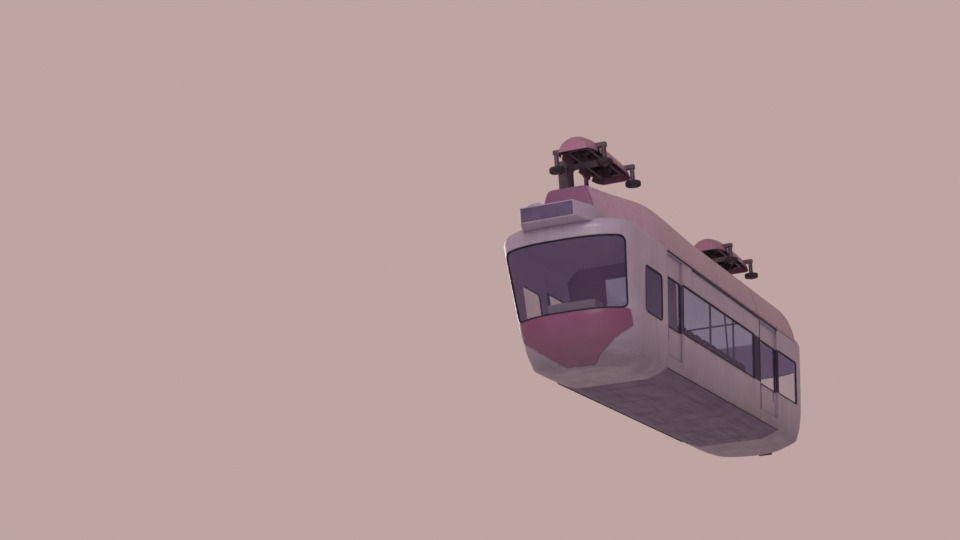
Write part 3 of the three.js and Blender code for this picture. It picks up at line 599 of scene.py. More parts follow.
# The nose's end face at the front door takes the painted shade of the reveals.
NOSE_TRIM = [((0, NOSE_ROOT + REVEAL_BAND), ALL_HEIGHTS, REVEAL_SHADE_GREY)]
NOSE_WHITE = body_white("nose_white", 0.28, 0.20, NOSE_TRIM)
fitted("nose_moulding", points, faces, NOSE_WHITE, "car_body", "body_paint", ["nose_shell"], marks)

# Front panel of the nose: a red gloss moulding that fills the space under the windshield down to
# the chin, held by hidden screws with an open joint all round. Its middle is bare.
SHIELD_JOINT = 0.004
PANEL_LAYERS = (-0.003, 0.032)
NOSE_RED = weathered_paint(
    "nose_red", (0.275, 0.084, 0.195), (0.305, 0.110, 0.235), 0.26, 0.12, LINING_WITH_SHADED_ENDS)
panel_loop = nose.from_front(grown(shield_outline, -SHIELD_JOINT))
points, faces, marks = walled_cut(nose, [panel_loop], PANEL_LAYERS, FINE)
fitted("front_panel", points, faces, NOSE_RED, "car_body", "nose_red", ["nose_panel"], marks)

# Windshield and cab side windows: curved tinted glass laid into the openings, each held by a
# black rubber strip that is pressed over the edge of the moulding.
GLASS_IN, GLASS_THICK = 0.010, 0.012


def tinted_glass(name, tone, cover, slant_cover):
    """Tinted glass: see-through by its alpha, which rises where the pane is seen at a slant and
    with the dust that lies along its edges."""
    finish, sockets, place = open_finish(name, IOR=1.5)
    slant = place.node("ShaderNodeLayerWeight", None, {"Blend": 0.5}, "Facing")
    dust = grain(place, 0.03, 4)
    film = patches(place, (0.3, 0.3, 0.5), 3, 0.35, 0.75)
    seam = mark_of(place, "seam")
    lying = seam * seam * step_between(dust, 0.35, 0.65)
    colour = mix(film * 0.06 + lying * 0.25, tone, (0.30, 0.26, 0.31))
    colour.into(sockets["Base Color"])
    alpha = slant * slant * slant_cover + film * 0.03 + lying * 0.20 + cover
    alpha.math("MINIMUM", alpha, 1.0).into(sockets["Alpha"])
    (dust * 0.05 + lying * 0.3 + 0.03).into(sockets["Roughness"])
    bump(grain(place, 0.5, 1), 0.003).into(sockets["Normal"])
    return finish


def rubber_finish():
    """Black rubber: greyed by weather in patches, with a fine moulded tooth."""
    finish, sockets, place = open_finish("black_rubber", Specular_IOR_Level=0.25)
    bloom = patches(place, 0.15, 4, 0.4, 0.7)
    mix(bloom, (0.018, 0.014, 0.030), (0.045, 0.038, 0.060)).into(sockets["Base Color"])
    (bloom * 0.2 + 0.6).into(sockets["Roughness"])
    bump(grain(place, 0.003, 2), 0.0006).into(sockets["Normal"])
    return finish


DARK_GLASS = tinted_glass("windshield_glass", (0.16, 0.11, 0.24), 0.22, 0.16)
SIDE_GLASS = tinted_glass("side_glass", (0.28, 0.22, 0.48), 0.07, 0.20)
RUBBER = rubber_finish()
STRIP_SECTION = np.array([
    # distance outside the opening's edge, depth under the body's face
    [0.018, 0.001], [0.014, -0.006], [0.002, -0.008], [-0.010, -0.004],
    [-0.014, 0.004], [-0.012, 0.022], [-0.002, 0.026], [0.012, 0.010],
])


def strip_round(surface, loop, section):
    """Carries a section round a loop on a surface: each of its points lies a distance outside
    the loop, along the loop's normal, and a depth under the surface."""
    run = np.roll(loop, -1, axis=0) - np.roll(loop, 1, axis=0)
    run /= np.linalg.norm(run, axis=1, keepdims=True)
    x, y = loop.T
    clockwise = (x * np.roll(y, -1) - np.roll(x, -1) * y).sum() < 0
    outward = np.c_[run[:, 1], -run[:, 0]] * (-1 if clockwise else 1)
    at = loop[:, None] + outward[:, None] * section[None, :, :1]
    return surface(at[..., 0], at[..., 1], np.broadcast_to(section[:, 1], at.shape[:2]))


def net(points, round_u=True, round_v=True):
    """Flattens a grid of points and joins neighbours by quads, around one or both ways."""
    rows, columns = points.shape[:2]
    number = np.arange(rows * columns).reshape(rows, columns)
    number = np.vstack([number, number[:1]]) if round_u else number
    number = np.hstack([number, number[:, :1]]) if round_v else number
    quads = np.stack([number[:-1, :-1], number[1:, :-1], number[1:, 1:], number[:-1, 1:]], -1)
    return points.reshape(-1, 3), quads.reshape(-1, 4).tolist()


def joined(*parts):
    """Several sets of points and faces as one."""
    starts = np.cumsum([0] + [len(points) for points, _ in parts])
    faces = [[c + first for c in face] for (_, made), first in zip(parts, starts) for face in made]
    return np.vstack([points for points, _ in parts]), faces


def glaze(name, surface, loop, finish, body, node, depth_in=GLASS_IN, clear=0.002):
    """A pane a little smaller than its opening, between two depths under the face."""
    pane = grown(loop, -clear)
    layers = (depth_in, depth_in + GLASS_THICK)
    points, faces, marks = walled_cut(surface, [pane], layers, FINE)
    fitted(name, points, faces, finish, body, "glazing", [node], marks)


glaze("windshield_pane", nose, windshield_cut, DARK_GLASS, "car_body", "windshield")
for side, loop in zip(("left", "right"), cab_cuts):
    glaze(f"cab_pane_{side}", nose, loop, SIDE_GLASS, "car_body", f"cab_window_{side}")
strips = [net(strip_round(nose, loop, STRIP_SECTION)) for loop in (windshield_cut, *cab_cuts)]
fitted("nose_glass_rubber", *joined(*strips), RUBBER, "car_body", "tyre_rubber")

# Tail moulding: the same shell as the nose but upright, with a smaller end window, two long side
# windows and a slot near the floor for the drawbar.
TAIL_ROOT = 3.6003
REAR_WINDOW = (SILL, 0.98, 1.70, 1.04)
TAIL_WINDOW_X, TAIL_WINDOW_CORNER = (-5.20, -3.68), 0.07
DRAWBAR_SLOT = (0.0195, 0.0905, 0.1505, 0.0905)
BAND_HEIGHTS = (SILL - 0.004, WINDOW_TOP + 0.004)
tail = End(-1, TAIL_ROOT)
rear_cut = tail.from_front(soft_outline(trapezium(*REAR_WINDOW), WINDOW_CORNER))
tail_outline = soft_outline(upright(*TAIL_WINDOW_X, SILL, WINDOW_TOP), TAIL_WINDOW_CORNER)
tail_windows = [tail.from_side(tail_outline, side) for side in (1, -1)]
slot_cut = tail.from_front(spaced(np.array(trapezium(*DRAWBAR_SLOT)), 0.02))
tail_cuts = [rear_cut, *tail_windows, slot_cut]
points, faces, marks = walled_cut(
    tail, [around, *tail_cuts], (0, WALL), FINE, tail_cuts + roots)
# The tail's end face at the rear door takes the painted shade of the reveals.
TAIL_TRIM = [((-TAIL_ROOT - REVEAL_BAND, 0), ALL_HEIGHTS, REVEAL_SHADE_GREY),
             ((TAIL_WINDOW_X[1], 0), BAND_HEIGHTS, TRIM_BLACK)]
TAIL_WHITE = body_white("tail_white", trim=TAIL_TRIM)
fitted("tail_moulding", points, faces, TAIL_WHITE, "car_body", "body_paint", ["tail_shell"], marks)
glaze("rear_pane", tail, rear_cut, SIDE_GLASS, "car_body", "rear_window")
for side, loop in zip(("left", "right"), tail_windows):
    glaze(f"tail_pane_{side}", tail, loop, SIDE_GLASS, "car_body", f"tail_window_{side}")
strips = [net(strip_round(tail, loop, STRIP_SECTION)) for loop in (rear_cut, *tail_windows)]
fitted("tail_glass_rubber", *joined(*strips), RUBBER, "car_body", "tyre_rubber")

# Side walls: sheet panels on a frame between the front and rear doors, each with one long band
# window that is laid in a rubber strip, and a rubber nosing where the rear door shuts. The band's
# black trim is greyer towards the front.
ROOF_EDGE = 2.1597
SIDES = (("left", 1), ("right", -1))
WALL_X = (-2.25, 3.09)
BAND_X = (-1.79, 3.045)


def flank(side, inset=0.0):
    """The straight side of the body: x along it, girth up it, y = half width less the depth."""
    def surface(x, girth, depth_in):
        half = rounded_column(girth, HALF) - depth_in - inset
        z = rounded_column(girth, HEIGHT) + SKIRT
        return np.stack(np.broadcast_arrays(x, side * half, z), axis=-1)
    return surface


def on_flank(outline):
    """Parameters on the flank of an outline whose columns are x and height."""
    return np.c_[outline[:, 0], girth_at(outline[:, 1])]


FAR, TRIM_CHANGE = 9, 2.0
BAND_TRIM = [((TRIM_CHANGE, FAR), BAND_HEIGHTS, TRIM_SOFT),
             ((-FAR, TRIM_CHANGE), BAND_HEIGHTS, TRIM_BLACK)]
# Both end faces of each wall, at the doors, take the painted shade of the reveals.
WALL_TRIM = [((WALL_X[1] - REVEAL_BAND, FAR), ALL_HEIGHTS, REVEAL_SHADE_GREY),
             ((-FAR, WALL_X[0] + REVEAL_BAND), ALL_HEIGHTS, REVEAL_SHADE_GREY), *BAND_TRIM]
WALL_WHITE = body_white("wall_white", trim=WALL_TRIM)
NOSING, NOSING_HEIGHTS, NOSING_LAYERS = 0.022, (0.235, 2.13), (-0.006, 0.0005)
COARSE = 0.09
band_loop = on_flank(soft_outline(upright(*BAND_X, SILL, WINDOW_TOP), 0.03, 0.05))
wall_loop = on_flank(np.array(upright(*WALL_X, 0.0, ROOF_EDGE)))
for side, sign in SIDES:
    surface = flank(sign)
    points, faces, marks = walled_cut(surface, [wall_loop, band_loop], (0, WALL), COARSE)
    fitted(f"side_wall_{side}", points, faces, WALL_WHITE, "car_body", "body_paint",
           [f"side_{side}"], marks)
    glaze(f"band_pane_{side}", surface, band_loop, SIDE_GLASS, "car_body", f"side_window_{side}")
    rubber = net(strip_round(surface, spaced(band_loop, 0.05), STRIP_SECTION))
    fitted(f"band_rubber_{side}", *rubber, RUBBER, "car_body", "tyre_rubber")
    nosing = on_flank(np.array(upright(WALL_X[0], WALL_X[0] + NOSING, *NOSING_HEIGHTS)))
    points, faces, _ = walled_cut(surface, [nosing], NOSING_LAYERS, 0.05)
    fitted(f"door_nosing_{side}", points, faces, RUBBER, "car_body", "tyre_rubber")

# Sliding doors: hollow pressed leaves that run inside the walls on a floor track, each with one
# pane in a rubber strip. Each leaf has a dark sunk cup with a bar across it as its pull.
FRONT_DOOR = (3.09, 4.0)
REAR_DOOR = (-3.6, -2.25)
DOOR_INSET, DOOR_THICK, DOOR_LAP, DOOR_STILE = 0.046, 0.034, 0.015, 0.055
DOOR_LOW, DOOR_TOP = 0.2365, 2.185
PULL_WIDTH, PULL_LOW, PULL_HIGH, PULL_DEEP = 0.050, 0.575, 0.775, 0.022
CUP_THICK, CUP_GRID = 0.0015, 33
PULL_BAR, PULL_BAR_IN, PULL_RIM = 0.006, 0.008, 0.006
DOORS = (("front", FRONT_DOOR, 3.87), ("rear", REAR_DOOR, -3.40))
LEAF_PANE_IN = 0.008
LEAF_STRIP = STRIP_SECTION * [1, 0.55]
LEAF_WHITE = body_white("leaf_white", trim=BAND_TRIM)


def pull_finish():
    """Black moulded plastic, rubbed grey in small patches."""
    finish, sockets, place = open_finish("pull_plastic", Roughness=0.45)
    wear = patches(place, 0.03, 4, 0.45, 0.7)
    mix(wear, (0.020, 0.016, 0.024), (0.06, 0.05, 0.06)).into(sockets["Base Color"])
    return finish


PULL_PLASTIC = pull_finish()


def cup(surface, middle, size, deep):
    """A sunk cup in a surface: its depth is deep (1 - u^8)(1 - v^8) inside a rim that lies just
    proud of the face, and a bar stands across its middle."""
    n = CUP_GRID
    u, v = np.meshgrid(np.linspace(-1, 1, n), np.linspace(-1, 1, n), indexing="ij")
    x, girth = middle[0] + u * size[0] / 2, middle[1] + v * size[1] / 2
    front = deep * (1 - u ** 8) * (1 - v ** 8)
    layers = [surface(x, girth, front + depth) for depth in (0, CUP_THICK)]
    shell = joined(*[net(layer, False, False) for layer in layers])
    rim = np.r_[0:n, 2 * n - 1:n * n:n, n * n - 2:n * (n - 1) - 1:-1, n * (n - 2):0:-n]
    after = np.roll(rim, -1)
    shell[1].extend(np.c_[rim, after, after + n * n, rim + n * n].tolist())
    turn = np.linspace(0, 2 * np.pi, 12, endpoint=False)
    along = np.linspace(-0.40, 0.40, 7)[:, None] * size[1]
    bar_x = middle[0] + PULL_BAR * np.cos(turn)[None, :] + 0 * along
    bar_depth = PULL_BAR_IN + PULL_BAR * np.sin(turn)[None, :] + 0 * along
    bar = skinned(surface(bar_x, middle[1] + along + 0 * bar_x, bar_depth))
    return joined(shell, bar)


def skinned(rings):
    """Joins closed rings from station to station; flat faces close the first and the last."""
    points, faces = net(rings, round_u=False)
    count = rings.shape[1]
    last = len(points) - count
    return points, [*faces, list(range(count))[::-1], list(range(last, last + count))]


for end, (x0, x1), pull_x in DOORS:
    leaf_x = (x0 - DOOR_LAP, x1 + DOOR_LAP)
    opening_x = (leaf_x[0] + DOOR_STILE, leaf_x[1] - DOOR_STILE)
    leaf_loop = on_flank(np.array(upright(*leaf_x, DOOR_LOW, DOOR_TOP)))
    pane_loop = on_flank(soft_outline(upright(*opening_x, SILL, WINDOW_TOP), 0.05, 0.04))
    pull_x = (pull_x - PULL_WIDTH / 2, pull_x + PULL_WIDTH / 2)
    pull_loop = on_flank(rounded(upright(*pull_x, PULL_LOW, PULL_HIGH), 0.01))
    pull_middle = pull_loop.mean(axis=0)
    pull_size = np.ptp(pull_loop, axis=0) + PULL_RIM
    for side, sign in SIDES:
        body = f"door_{end}_{side}"
        surface = flank(sign, DOOR_INSET)
        cuts = [leaf_loop, pane_loop, pull_loop]
        points, faces, marks = walled_cut(surface, cuts, (0, DOOR_THICK), COARSE)
        fitted(f"leaf_{end}_{side}", points, faces, LEAF_WHITE, body, "body_paint",
               [body], marks)
        pull = cup(flank(sign, DOOR_INSET - 0.001), pull_middle, pull_size, PULL_DEEP)
        fitted(f"leaf_pull_{end}_{side}", *pull, PULL_PLASTIC, body, "tyre_rubber")
        glaze(f"leaf_pane_{end}_{side}", surface, pane_loop, SIDE_GLASS, body,
              f"door_glass_{end}_{side}", LEAF_PANE_IN)
        rubber = net(strip_round(surface, pane_loop, LEAF_STRIP))
        fitted(f"leaf_rubber_{end}_{side}", *rubber, RUBBER, body, "tyre_rubber")

# Roof: one pressed steel skin between the two end mouldings, folded over the side walls at its
# edges and painted like them, with the same pale lining on its inner face.
ROOF_X = (-3.5997, 3.9997)


def roof_ring(x, count=60):
    """The form's section from the roof edge over the top, out along its face and back inside."""
    share = np.linspace(-1, 1, 2 * count + 1)
    girth = full_girth - np.abs(share) * (full_girth - girth_at(ROOF_EDGE))
    sections = []
    for depth in (0, WALL):
        half = np.maximum(rounded_column(girth, HALF) - depth, 0)
        z = rounded_column(girth, HEIGHT) - rounded_column(girth, LID) * depth + SKIRT
        sections.append(np.stack([np.sign(share) * half, z], axis=-1))
    section = np.vstack([sections[0], sections[1][::-1]])
    return np.stack([np.c_[np.full(len(section), at), section] for at in x])


roof_stations = np.linspace(*ROOF_X, 9)
roof_rings = roof_ring(roof_stations)
inner_half = np.arange(roof_rings.shape[1]) >= roof_rings.shape[1] // 2
ROOF_WHITE = body_white("roof_white", streaks=0.25)
roof_marks = {"inner": np.tile(inner_half.astype(float), len(roof_stations))}
fitted("roof_skin", *skinned(roof_rings), ROOF_WHITE,
       "car_body", "body_paint", ["roof"], roof_marks)

# Drip rails: a folded dark strip along each side under the roof seam. It is slim beside the front
# door and deeper behind it, where it also carries the door gear's cover.
RAIL_SPANS = ((3.995, 2.45, 0.022), (2.45, -3.595, 0.062))
RAIL_TOP, RAIL_PROUD, RAIL_SUNK = 2.200, 0.020, 0.004


def dark_metal_finish():
    """Dark coated aluminium: near black with a violet cast, rubbed paler in small patches."""
    finish, sockets, place = open_finish("dark_metal", Specular_IOR_Level=0.3)
    rubbed = patches(place, 0.09, 4, 0.52, 0.75)
    mix(rubbed, (0.033, 0.025, 0.062), (0.070, 0.056, 0.105)).into(sockets["Base Color"])
    (grain(place, 0.01, 3) * 0.2 + 0.38).into(sockets["Roughness"])
    return finish


DARK_METAL = dark_metal_finish()


def soft_box(low, high, radius, steps=3):
    """A bar along X whose section is a rectangle with rounded corners."""
    section = rounded(upright(low[1], high[1], low[2], high[2]), radius, steps)
    return skinned(np.stack([np.c_[np.full(len(section), x), section] for x in (low[0], high[0])]))


def mirrored(part, side):
    """A part as it is for side 1, and with y turned round for side -1."""
    points, faces = part
    return points * [1, side, 1], faces


seam_y = np.interp(RAIL_TOP, FORM[5:8, HEIGHT], FORM[5:8, HALF])
for side, sign in SIDES:
    bars = []
    for x1, x0, tall in RAIL_SPANS:
        low = (x0, seam_y - RAIL_SUNK, RAIL_TOP - tall + SKIRT)
        bars.append(soft_box(low, (x1, seam_y + RAIL_PROUD, RAIL_TOP + SKIRT), 0.006))
    fitted(f"drip_rail_{side}", *mirrored(joined(*bars), sign), DARK_METAL,
           "car_body", "tyre_rubber")

# Posts behind the long side windows: two slim dark metal uprights on each side, screwed to the
# wall over and under the window, which stiffen the pane from inside.
DIVIDERS, DIVIDER_HALF, DIVIDER_LAP = (1.22, -0.38), 0.025, 0.02
DIVIDER_LAYERS = (GLASS_IN + GLASS_THICK, WALL + 0.012)
for side, sign in SIDES:
    posts = []
    for x in DIVIDERS:
        edges = upright(x - DIVIDER_HALF, x + DIVIDER_HALF, SILL - DIVIDER_LAP, WINDOW_TOP + DIVIDER_LAP)
        loop = on_flank(np.array(edges))
        posts.append(walled_cut(flank(sign), [loop], DIVIDER_LAYERS, 0.05)[:2])
    fitted(f"band_posts_{side}", *joined(*posts), DARK_METAL, "car_body", "tyre_rubber")

# Roof fairing: a long hood of glass fibre in two lengths that hides the spine and the pivots. It
# narrows over the cab, is screwed down along its foot, and has a slot for each hanger arm.
FOOT = 2.206
HOOD = np.array([
    # half width, height
    [1.256, 2.206], [1.222, 2.460], [1.120, 2.760], [0.960, 2.990],
    [0.870, 3.060], [0.720, 3.085], [0.000, 3.085],
])
HOOD_STATIONS = np.array([
    # x, share of the width, share of the height over the foot
    [-5.560, 0.86, 0.90], [-5.440, 0.95, 0.98], [-5.200, 1.00, 1.00], [1.400, 1.00, 1.00],
    [3.000, 1.00, 1.08], [3.850, 1.00, 1.09], [4.250, 0.95, 1.09], [4.650, 0.80, 1.09],
    [5.200, 0.60, 1.09], [5.740, 0.45, 1.09], [5.800, 0.40, 1.06],
])
HOOD_THICK, HOOD_JOINT, JOINT_HALF, SHOULDER = 0.030, -2.150, 0.003, 0.09
HOOD_BLEND = np.linspace(-1, 1, 9).reshape(-1, 1, 1) * 0.03
PIVOTS = (4.1, -4.1)
SLOT_HALF, SLOT_Y = 0.29, (-0.725, -0.45)
hood_run = np.r_[0, np.cumsum(np.linalg.norm(np.diff(HOOD, axis=0), axis=1))]
HOOD_GIRTH = hood_run[-1]
hood_marks = np.linspace(0, HOOD_GIRTH, 240)
windows = hood_marks + np.linspace(-1, 1, 9)[:, None] * SHOULDER
foot_slope = (HOOD[1] - HOOD[0]) / hood_run[1]
hood_profile = np.stack([np.interp(windows, hood_run, column) for column in HOOD.T], axis=-1)
hood_profile += np.minimum(windows, 0)[..., None] * foot_slope
hood_profile = hood_profile.mean(axis=0)
hood_out = np.gradient(hood_profile, axis=0)[:, ::-1] * [1, -1]
hood_out /= np.linalg.norm(hood_out, axis=1, keepdims=True)


def hood_shape(x):
    """Shares of width and height at x, and the girth at which the hood's foot meets the roof."""
    x = np.asarray(x, float)
    wide, high = [np.interp(x + HOOD_BLEND, HOOD_STATIONS[:, 0], HOOD_STATIONS[:, k]).mean(axis=0)
                  for k in (1, 2)]
    lowest = np.interp(-HOOD[0, 0] * wide, -FORM[7:11, HALF], FORM[7:11, HEIGHT])
    over_foot = (np.maximum(lowest, FOOT) - FOOT) / high
    return wide, high, np.interp(over_foot, hood_profile[:, 1] - FOOT, hood_marks)


def hood(x, w, depth_in):
    """The hood's surface: w runs from foot to foot over the top, -1 to 1, and each section is
    the same rounded profile, scaled across and upwards by shares that follow x."""
    x, w = np.broadcast_arrays(np.atleast_2d(x), np.atleast_2d(w))
    wide, high, start = hood_shape(x)
    girth = start + (HOOD_GIRTH - start) * (1 - np.abs(w))
    y, z, out_y, out_z = [np.interp(girth, hood_marks, column)
                          for column in np.c_[hood_profile, hood_out].T]
    y = y * wide + out_y * -depth_in
    z = FOOT + (z - FOOT) * high - out_z * depth_in + SKIRT
    return np.stack([x, np.sign(w) * np.maximum(y, 0), z], axis=-1)


def hood_surface(x, run, depth_in):
    """The hood with its second parameter in metres, so that a cut's grid is even."""
    made = hood(x, run / HOOD_GIRTH, depth_in)
    return made.reshape(*np.shape(x), 3)


def across_hood(x, y):
    """Second parameter of the hood's surface over a place (x, y) of its top."""
    wide, _, start = [part.reshape(np.shape(x)) for part in hood_shape(np.atleast_2d(x))]
    girth = np.interp(-np.abs(y) / wide, -hood_profile[:, 0], hood_marks)
    return np.sign(y) * (1 - (girth - start) / (HOOD_GIRTH - start)) * HOOD_GIRTH


BARE_MOULDING = ((0.16, 0.10, 0.13),) * 3
# Painted shade: the front end of the fairing is painted a darker magenta to stand for the shadow of the
# track beam over it.
FAIRING_END_SHADE = ((5.766, FAR), ALL_HEIGHTS, (0.30, 0.12, 0.26))
FAIRING_PINK = weathered_paint("fairing_pink", (0.58, 0.40, 0.54), (0.52, 0.37, 0.51), 0.42, 0.22,
                               BARE_MOULDING, [FAIRING_END_SHADE])
ROLLED_EDGE = np.array([
    [0.012, 0.002], [0.009, -0.008], [0.0, -0.012], [-0.009, -0.008],
    [-0.011, 0.004], [-0.008, 0.030], [0.0, 0.030], [0.0, 0.002],
])
HOOD_LENGTHS = (
    ("fairing_front", HOOD_JOINT + JOINT_HALF, 5.80, PIVOTS[0], 1),
    ("fairing_rear", -5.56, HOOD_JOINT - JOINT_HALF, PIVOTS[1], -1),
)
END_RADIUS = 0.030
w = np.linspace(-1, 1, 121)[None]


def longer(marks, *parts):
    """The marks of a sheet, with zeros for the points of the parts that are joined after it."""
    extra = sum(len(points) for points, _ in parts)
    return {name: np.r_[values, np.zeros(extra)] for name, values in marks.items()}


def rounded_end(section, radius, steps=5):
    """A thick end wall: the section moves out by radius sin(a) and shrinks by
    radius (1 - cos(a)) as a goes to a right angle, and flat faces close both sides."""
    a = np.linspace(0, np.pi / 2, steps)
    rings = [section(radius * (1 - np.sin(turn)), radius * (1 - np.cos(turn))) for turn in a]
    return skinned(np.stack(rings))


for node, x0, x1, pivot, way in HOOD_LENGTHS:
    ends = (x0, x1 - END_RADIUS) if way > 0 else (x0 + END_RADIUS, x1)
    skirts = np.array(upright(*ends, -HOOD_GIRTH, HOOD_GIRTH))
    plan = soft_outline(upright(pivot - SLOT_HALF, pivot + SLOT_HALF, *SLOT_Y), 0.03, 0.03)
    slot = np.c_[plan[:, 0], across_hood(*plan.T)]
    points, faces, marks = walled_cut(hood_surface, [skirts, slot], (0, HOOD_THICK), 0.075)
    tip = x1 if way > 0 else x0
    end_wall = rounded_end(lambda back, sunk: hood(tip - way * back, w, sunk)[0], END_RADIUS)
    rolled = net(strip_round(hood_surface, slot, ROLLED_EDGE))
    fitted(f"{node}_hood", *joined((points, faces), end_wall, rolled), FAIRING_PINK,
           "car_body", "fairing_paint", [node], longer(marks, end_wall, rolled))

# Joint strap and foot screws of the fairing: a thin strap covers the joint of the two lengths,
# and domed screws hold the foot down on both sides of the roof.
STRAP_HALF, STRAP_LAYERS, STRAP_END = 0.035, (-0.004, -0.0005), HOOD_GIRTH * 0.995
strap = np.array(upright(HOOD_JOINT - STRAP_HALF, HOOD_JOINT + STRAP_HALF, -STRAP_END, STRAP_END))
points, faces, marks = walled_cut(hood_surface, [strap], STRAP_LAYERS, 0.04)
fitted("fairing_strap", points, faces, FAIRING_PINK, "car_body", "fairing_paint", (), marks)
SCREW_X, SCREW_PITCH, SCREW_ROW = (-5.0, 3.95), 0.34, 0.975
SCREW_RADIUS, SCREW_RISE = 0.011, 0.006


def domes(places, outward, radius, rise):
    """Domed screw heads: at each place a cap r = radius sin(a), height = rise cos(a) about its
    outward direction, closed by a flat face."""
    outward = np.broadcast_to(outward, places.shape)
    outward = outward / np.linalg.norm(outward, axis=1, keepdims=True)
    first = np.cross(outward, [1.0, 0.02, 0.01])
    first /= np.linalg.norm(first, axis=1, keepdims=True)
    second = np.cross(outward, first)
    a = np.linspace(0.2, np.pi / 2, 4)[:, None]
    turn = np.linspace(0, 2 * np.pi, 10, endpoint=False)[None]
    spread = radius * np.sin(a)
    cap = (
        spread[..., None] * (np.cos(turn)[..., None] * first[:, None, None]
                             + np.sin(turn)[..., None] * second[:, None, None])
        + rise * np.cos(a)[..., None] * outward[:, None, None] + places[:, None, None]
    )
    return joined(*[skinned(one) for one in cap])


screws = []
for side, sign in SIDES:
    row = hood(np.arange(*SCREW_X, SCREW_PITCH), sign * SCREW_ROW, 0.0).reshape(-1, 3)
    screws.append(domes(row, [0, sign, 0.05], SCREW_RADIUS, SCREW_RISE))
fitted("fairing_screws", *joined(*screws), DARK_METAL, "car_body", "steel")

# Sign pod: a sheet metal box that overhangs the front of the roof, with a blank dark plastic
# panel set into its face and a small cover on its top. Its folded edges are rounded.
def softened(node, name, width, finish, body, crease=32):
    """A merged copy of a node whose folds are rounded by a bevel of a width."""
    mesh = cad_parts[node].data.copy()
    mesh.name = name
    mesh.materials.clear()
    mesh.materials.append(finish)
    merged = bmesh.new()
    merged.from_mesh(mesh)
    bmesh.ops.remove_doubles(merged, verts=merged.verts, dist=1e-5)
    bmesh.ops.dissolve_limit(
        merged, angle_limit=np.radians(0.5), verts=merged.verts, edges=merged.edges)
    merged.to_mesh(mesh)
    merged.free()
    piece = bpy.data.objects.new(name, mesh)
    bpy.context.scene.collection.objects.link(piece)
    bevel = piece.modifiers.new("folds", "BEVEL")
    bevel.limit_method = "ANGLE"
    bevel.angle_limit = np.radians(crease)
    bevel.width = width
    bevel.segments = 2
    bevel.harden_normals = True
    mesh.polygons.foreach_set("use_smooth", np.ones(len(mesh.polygons), bool))
    mesh.set_sharp_from_angle(angle=np.radians(crease))
    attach(piece, body)
    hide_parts(node)
    return piece


softened("sign_pod", "pod_box", 0.008, ROOF_WHITE, "car_body")


PANEL_RIBS = 400.0


def panel_finish():
    """Blank sign panel: dark violet acrylic, lit unevenly from behind by the daylight, with fine
    upright ribs."""
    finish, sockets, place = open_finish("pod_acrylic", Roughness=0.22)
    # Painted light: two dark tones in soft patches stand for daylight coming unevenly through the panel.
    painted_backlight = patches(place, 0.22, 3, 0.3, 0.75)
    mix(painted_backlight, (0.11, 0.075, 0.18), (0.15, 0.10, 0.23)).into(sockets["Base Color"])
    ribs = coordinate(place, 1) * PANEL_RIBS
    bump(ribs.math("SINE", ribs), 0.0004).into(sockets["Normal"])
    return finish


softened("pod_panel", "pod_face", 0.002, panel_finish(), "car_body")

# Running gear over the roof: welded box steel, primed dark. The spine with its bearing blocks is
# bolted to the roof, and each block hangs by a pin from the long arm of a bogie.
def primed_steel():
    """Dark primer on steel: brushed on, greasy in patches, with rust that starts in spots."""
    finish, sockets, place = open_finish("primed_steel", Metallic=0.35)
    brushed = grain(place, (0.25, 0.25, 0.02), 3)
    grease = patches(place, 0.22, 4, 0.48, 0.66)
    rust = patches(place, 0.05, 5, 0.60, 0.70)
    colour = mix(brushed, (0.115, 0.090, 0.125), (0.17, 0.14, 0.18))
    colour = mix(rust * 0.7, colour, (0.20, 0.075, 0.055))
    mix(grease * 0.75, colour, (0.035, 0.028, 0.035)).into(sockets["Base Color"])
    (brushed * 0.15 + rust * 0.3 - grease * 0.22 + 0.45).into(sockets["Roughness"])
    bump(brushed + rust, 0.0012).into(sockets["Normal"])
    return finish


PRIMED = primed_steel()
softened("roof_spine", "spine", 0.006, PRIMED, "car_body")
softened("coupler", "drawbar_and_head", 0.006, PRIMED, "car_body")
BOGIES = tuple(zip(("front", "rear"), PIVOTS))
for end, pivot in BOGIES:
    softened(f"bogie_{end}_frame", f"frame_{end}", 0.006, PRIMED, f"bogie_{end}")

# Bogie covers: half round glass fibre hoods over the wheels of each bogie, with a flat wall at
# each end and notches for the guide wheel brackets and the hanger arm.
COVER_LOW, COVER_THICK, COVER_HALF = 0.060, 0.020, 1.20
COVER_STATIONS = np.array([
    # distance from the middle, radius
    [0.00, 0.408], [0.78, 0.395], [1.08, 0.350], [COVER_HALF, 0.270],
])
COVER_TURN = 0.40
BRACKET_NOTCH = (0.742, 0.858, 0.2305)  # from, to, top
ARM_NOTCH = (0.188, 0.238)  # half width, top


def cover_radius(x):
    """Radius along the cover: the mean of the straight lines between stations over 0.12 m."""
    x = np.asarray(x)[..., None] + np.linspace(-0.06, 0.06, 9)
    return np.interp(np.abs(x), *COVER_STATIONS.T).mean(axis=-1)


def cover_surface(pivot):
    """Half round about the line that the tyres roll on: y = r cos(a), z = r sin(a), where the
    second parameter goes from foot to foot as a runs from the foot's angle to its mirror."""
    def surface(x, across, depth_in):
        radius = cover_radius(x - pivot)
        foot = np.arcsin(COVER_LOW / radius)
        a = np.pi / 2 - across / COVER_TURN * (np.pi / 2 - foot)
        r = radius - depth_in
        return np.stack(np.broadcast_arrays(x, r * np.cos(a), r * np.sin(a)), axis=-1)
    return surface


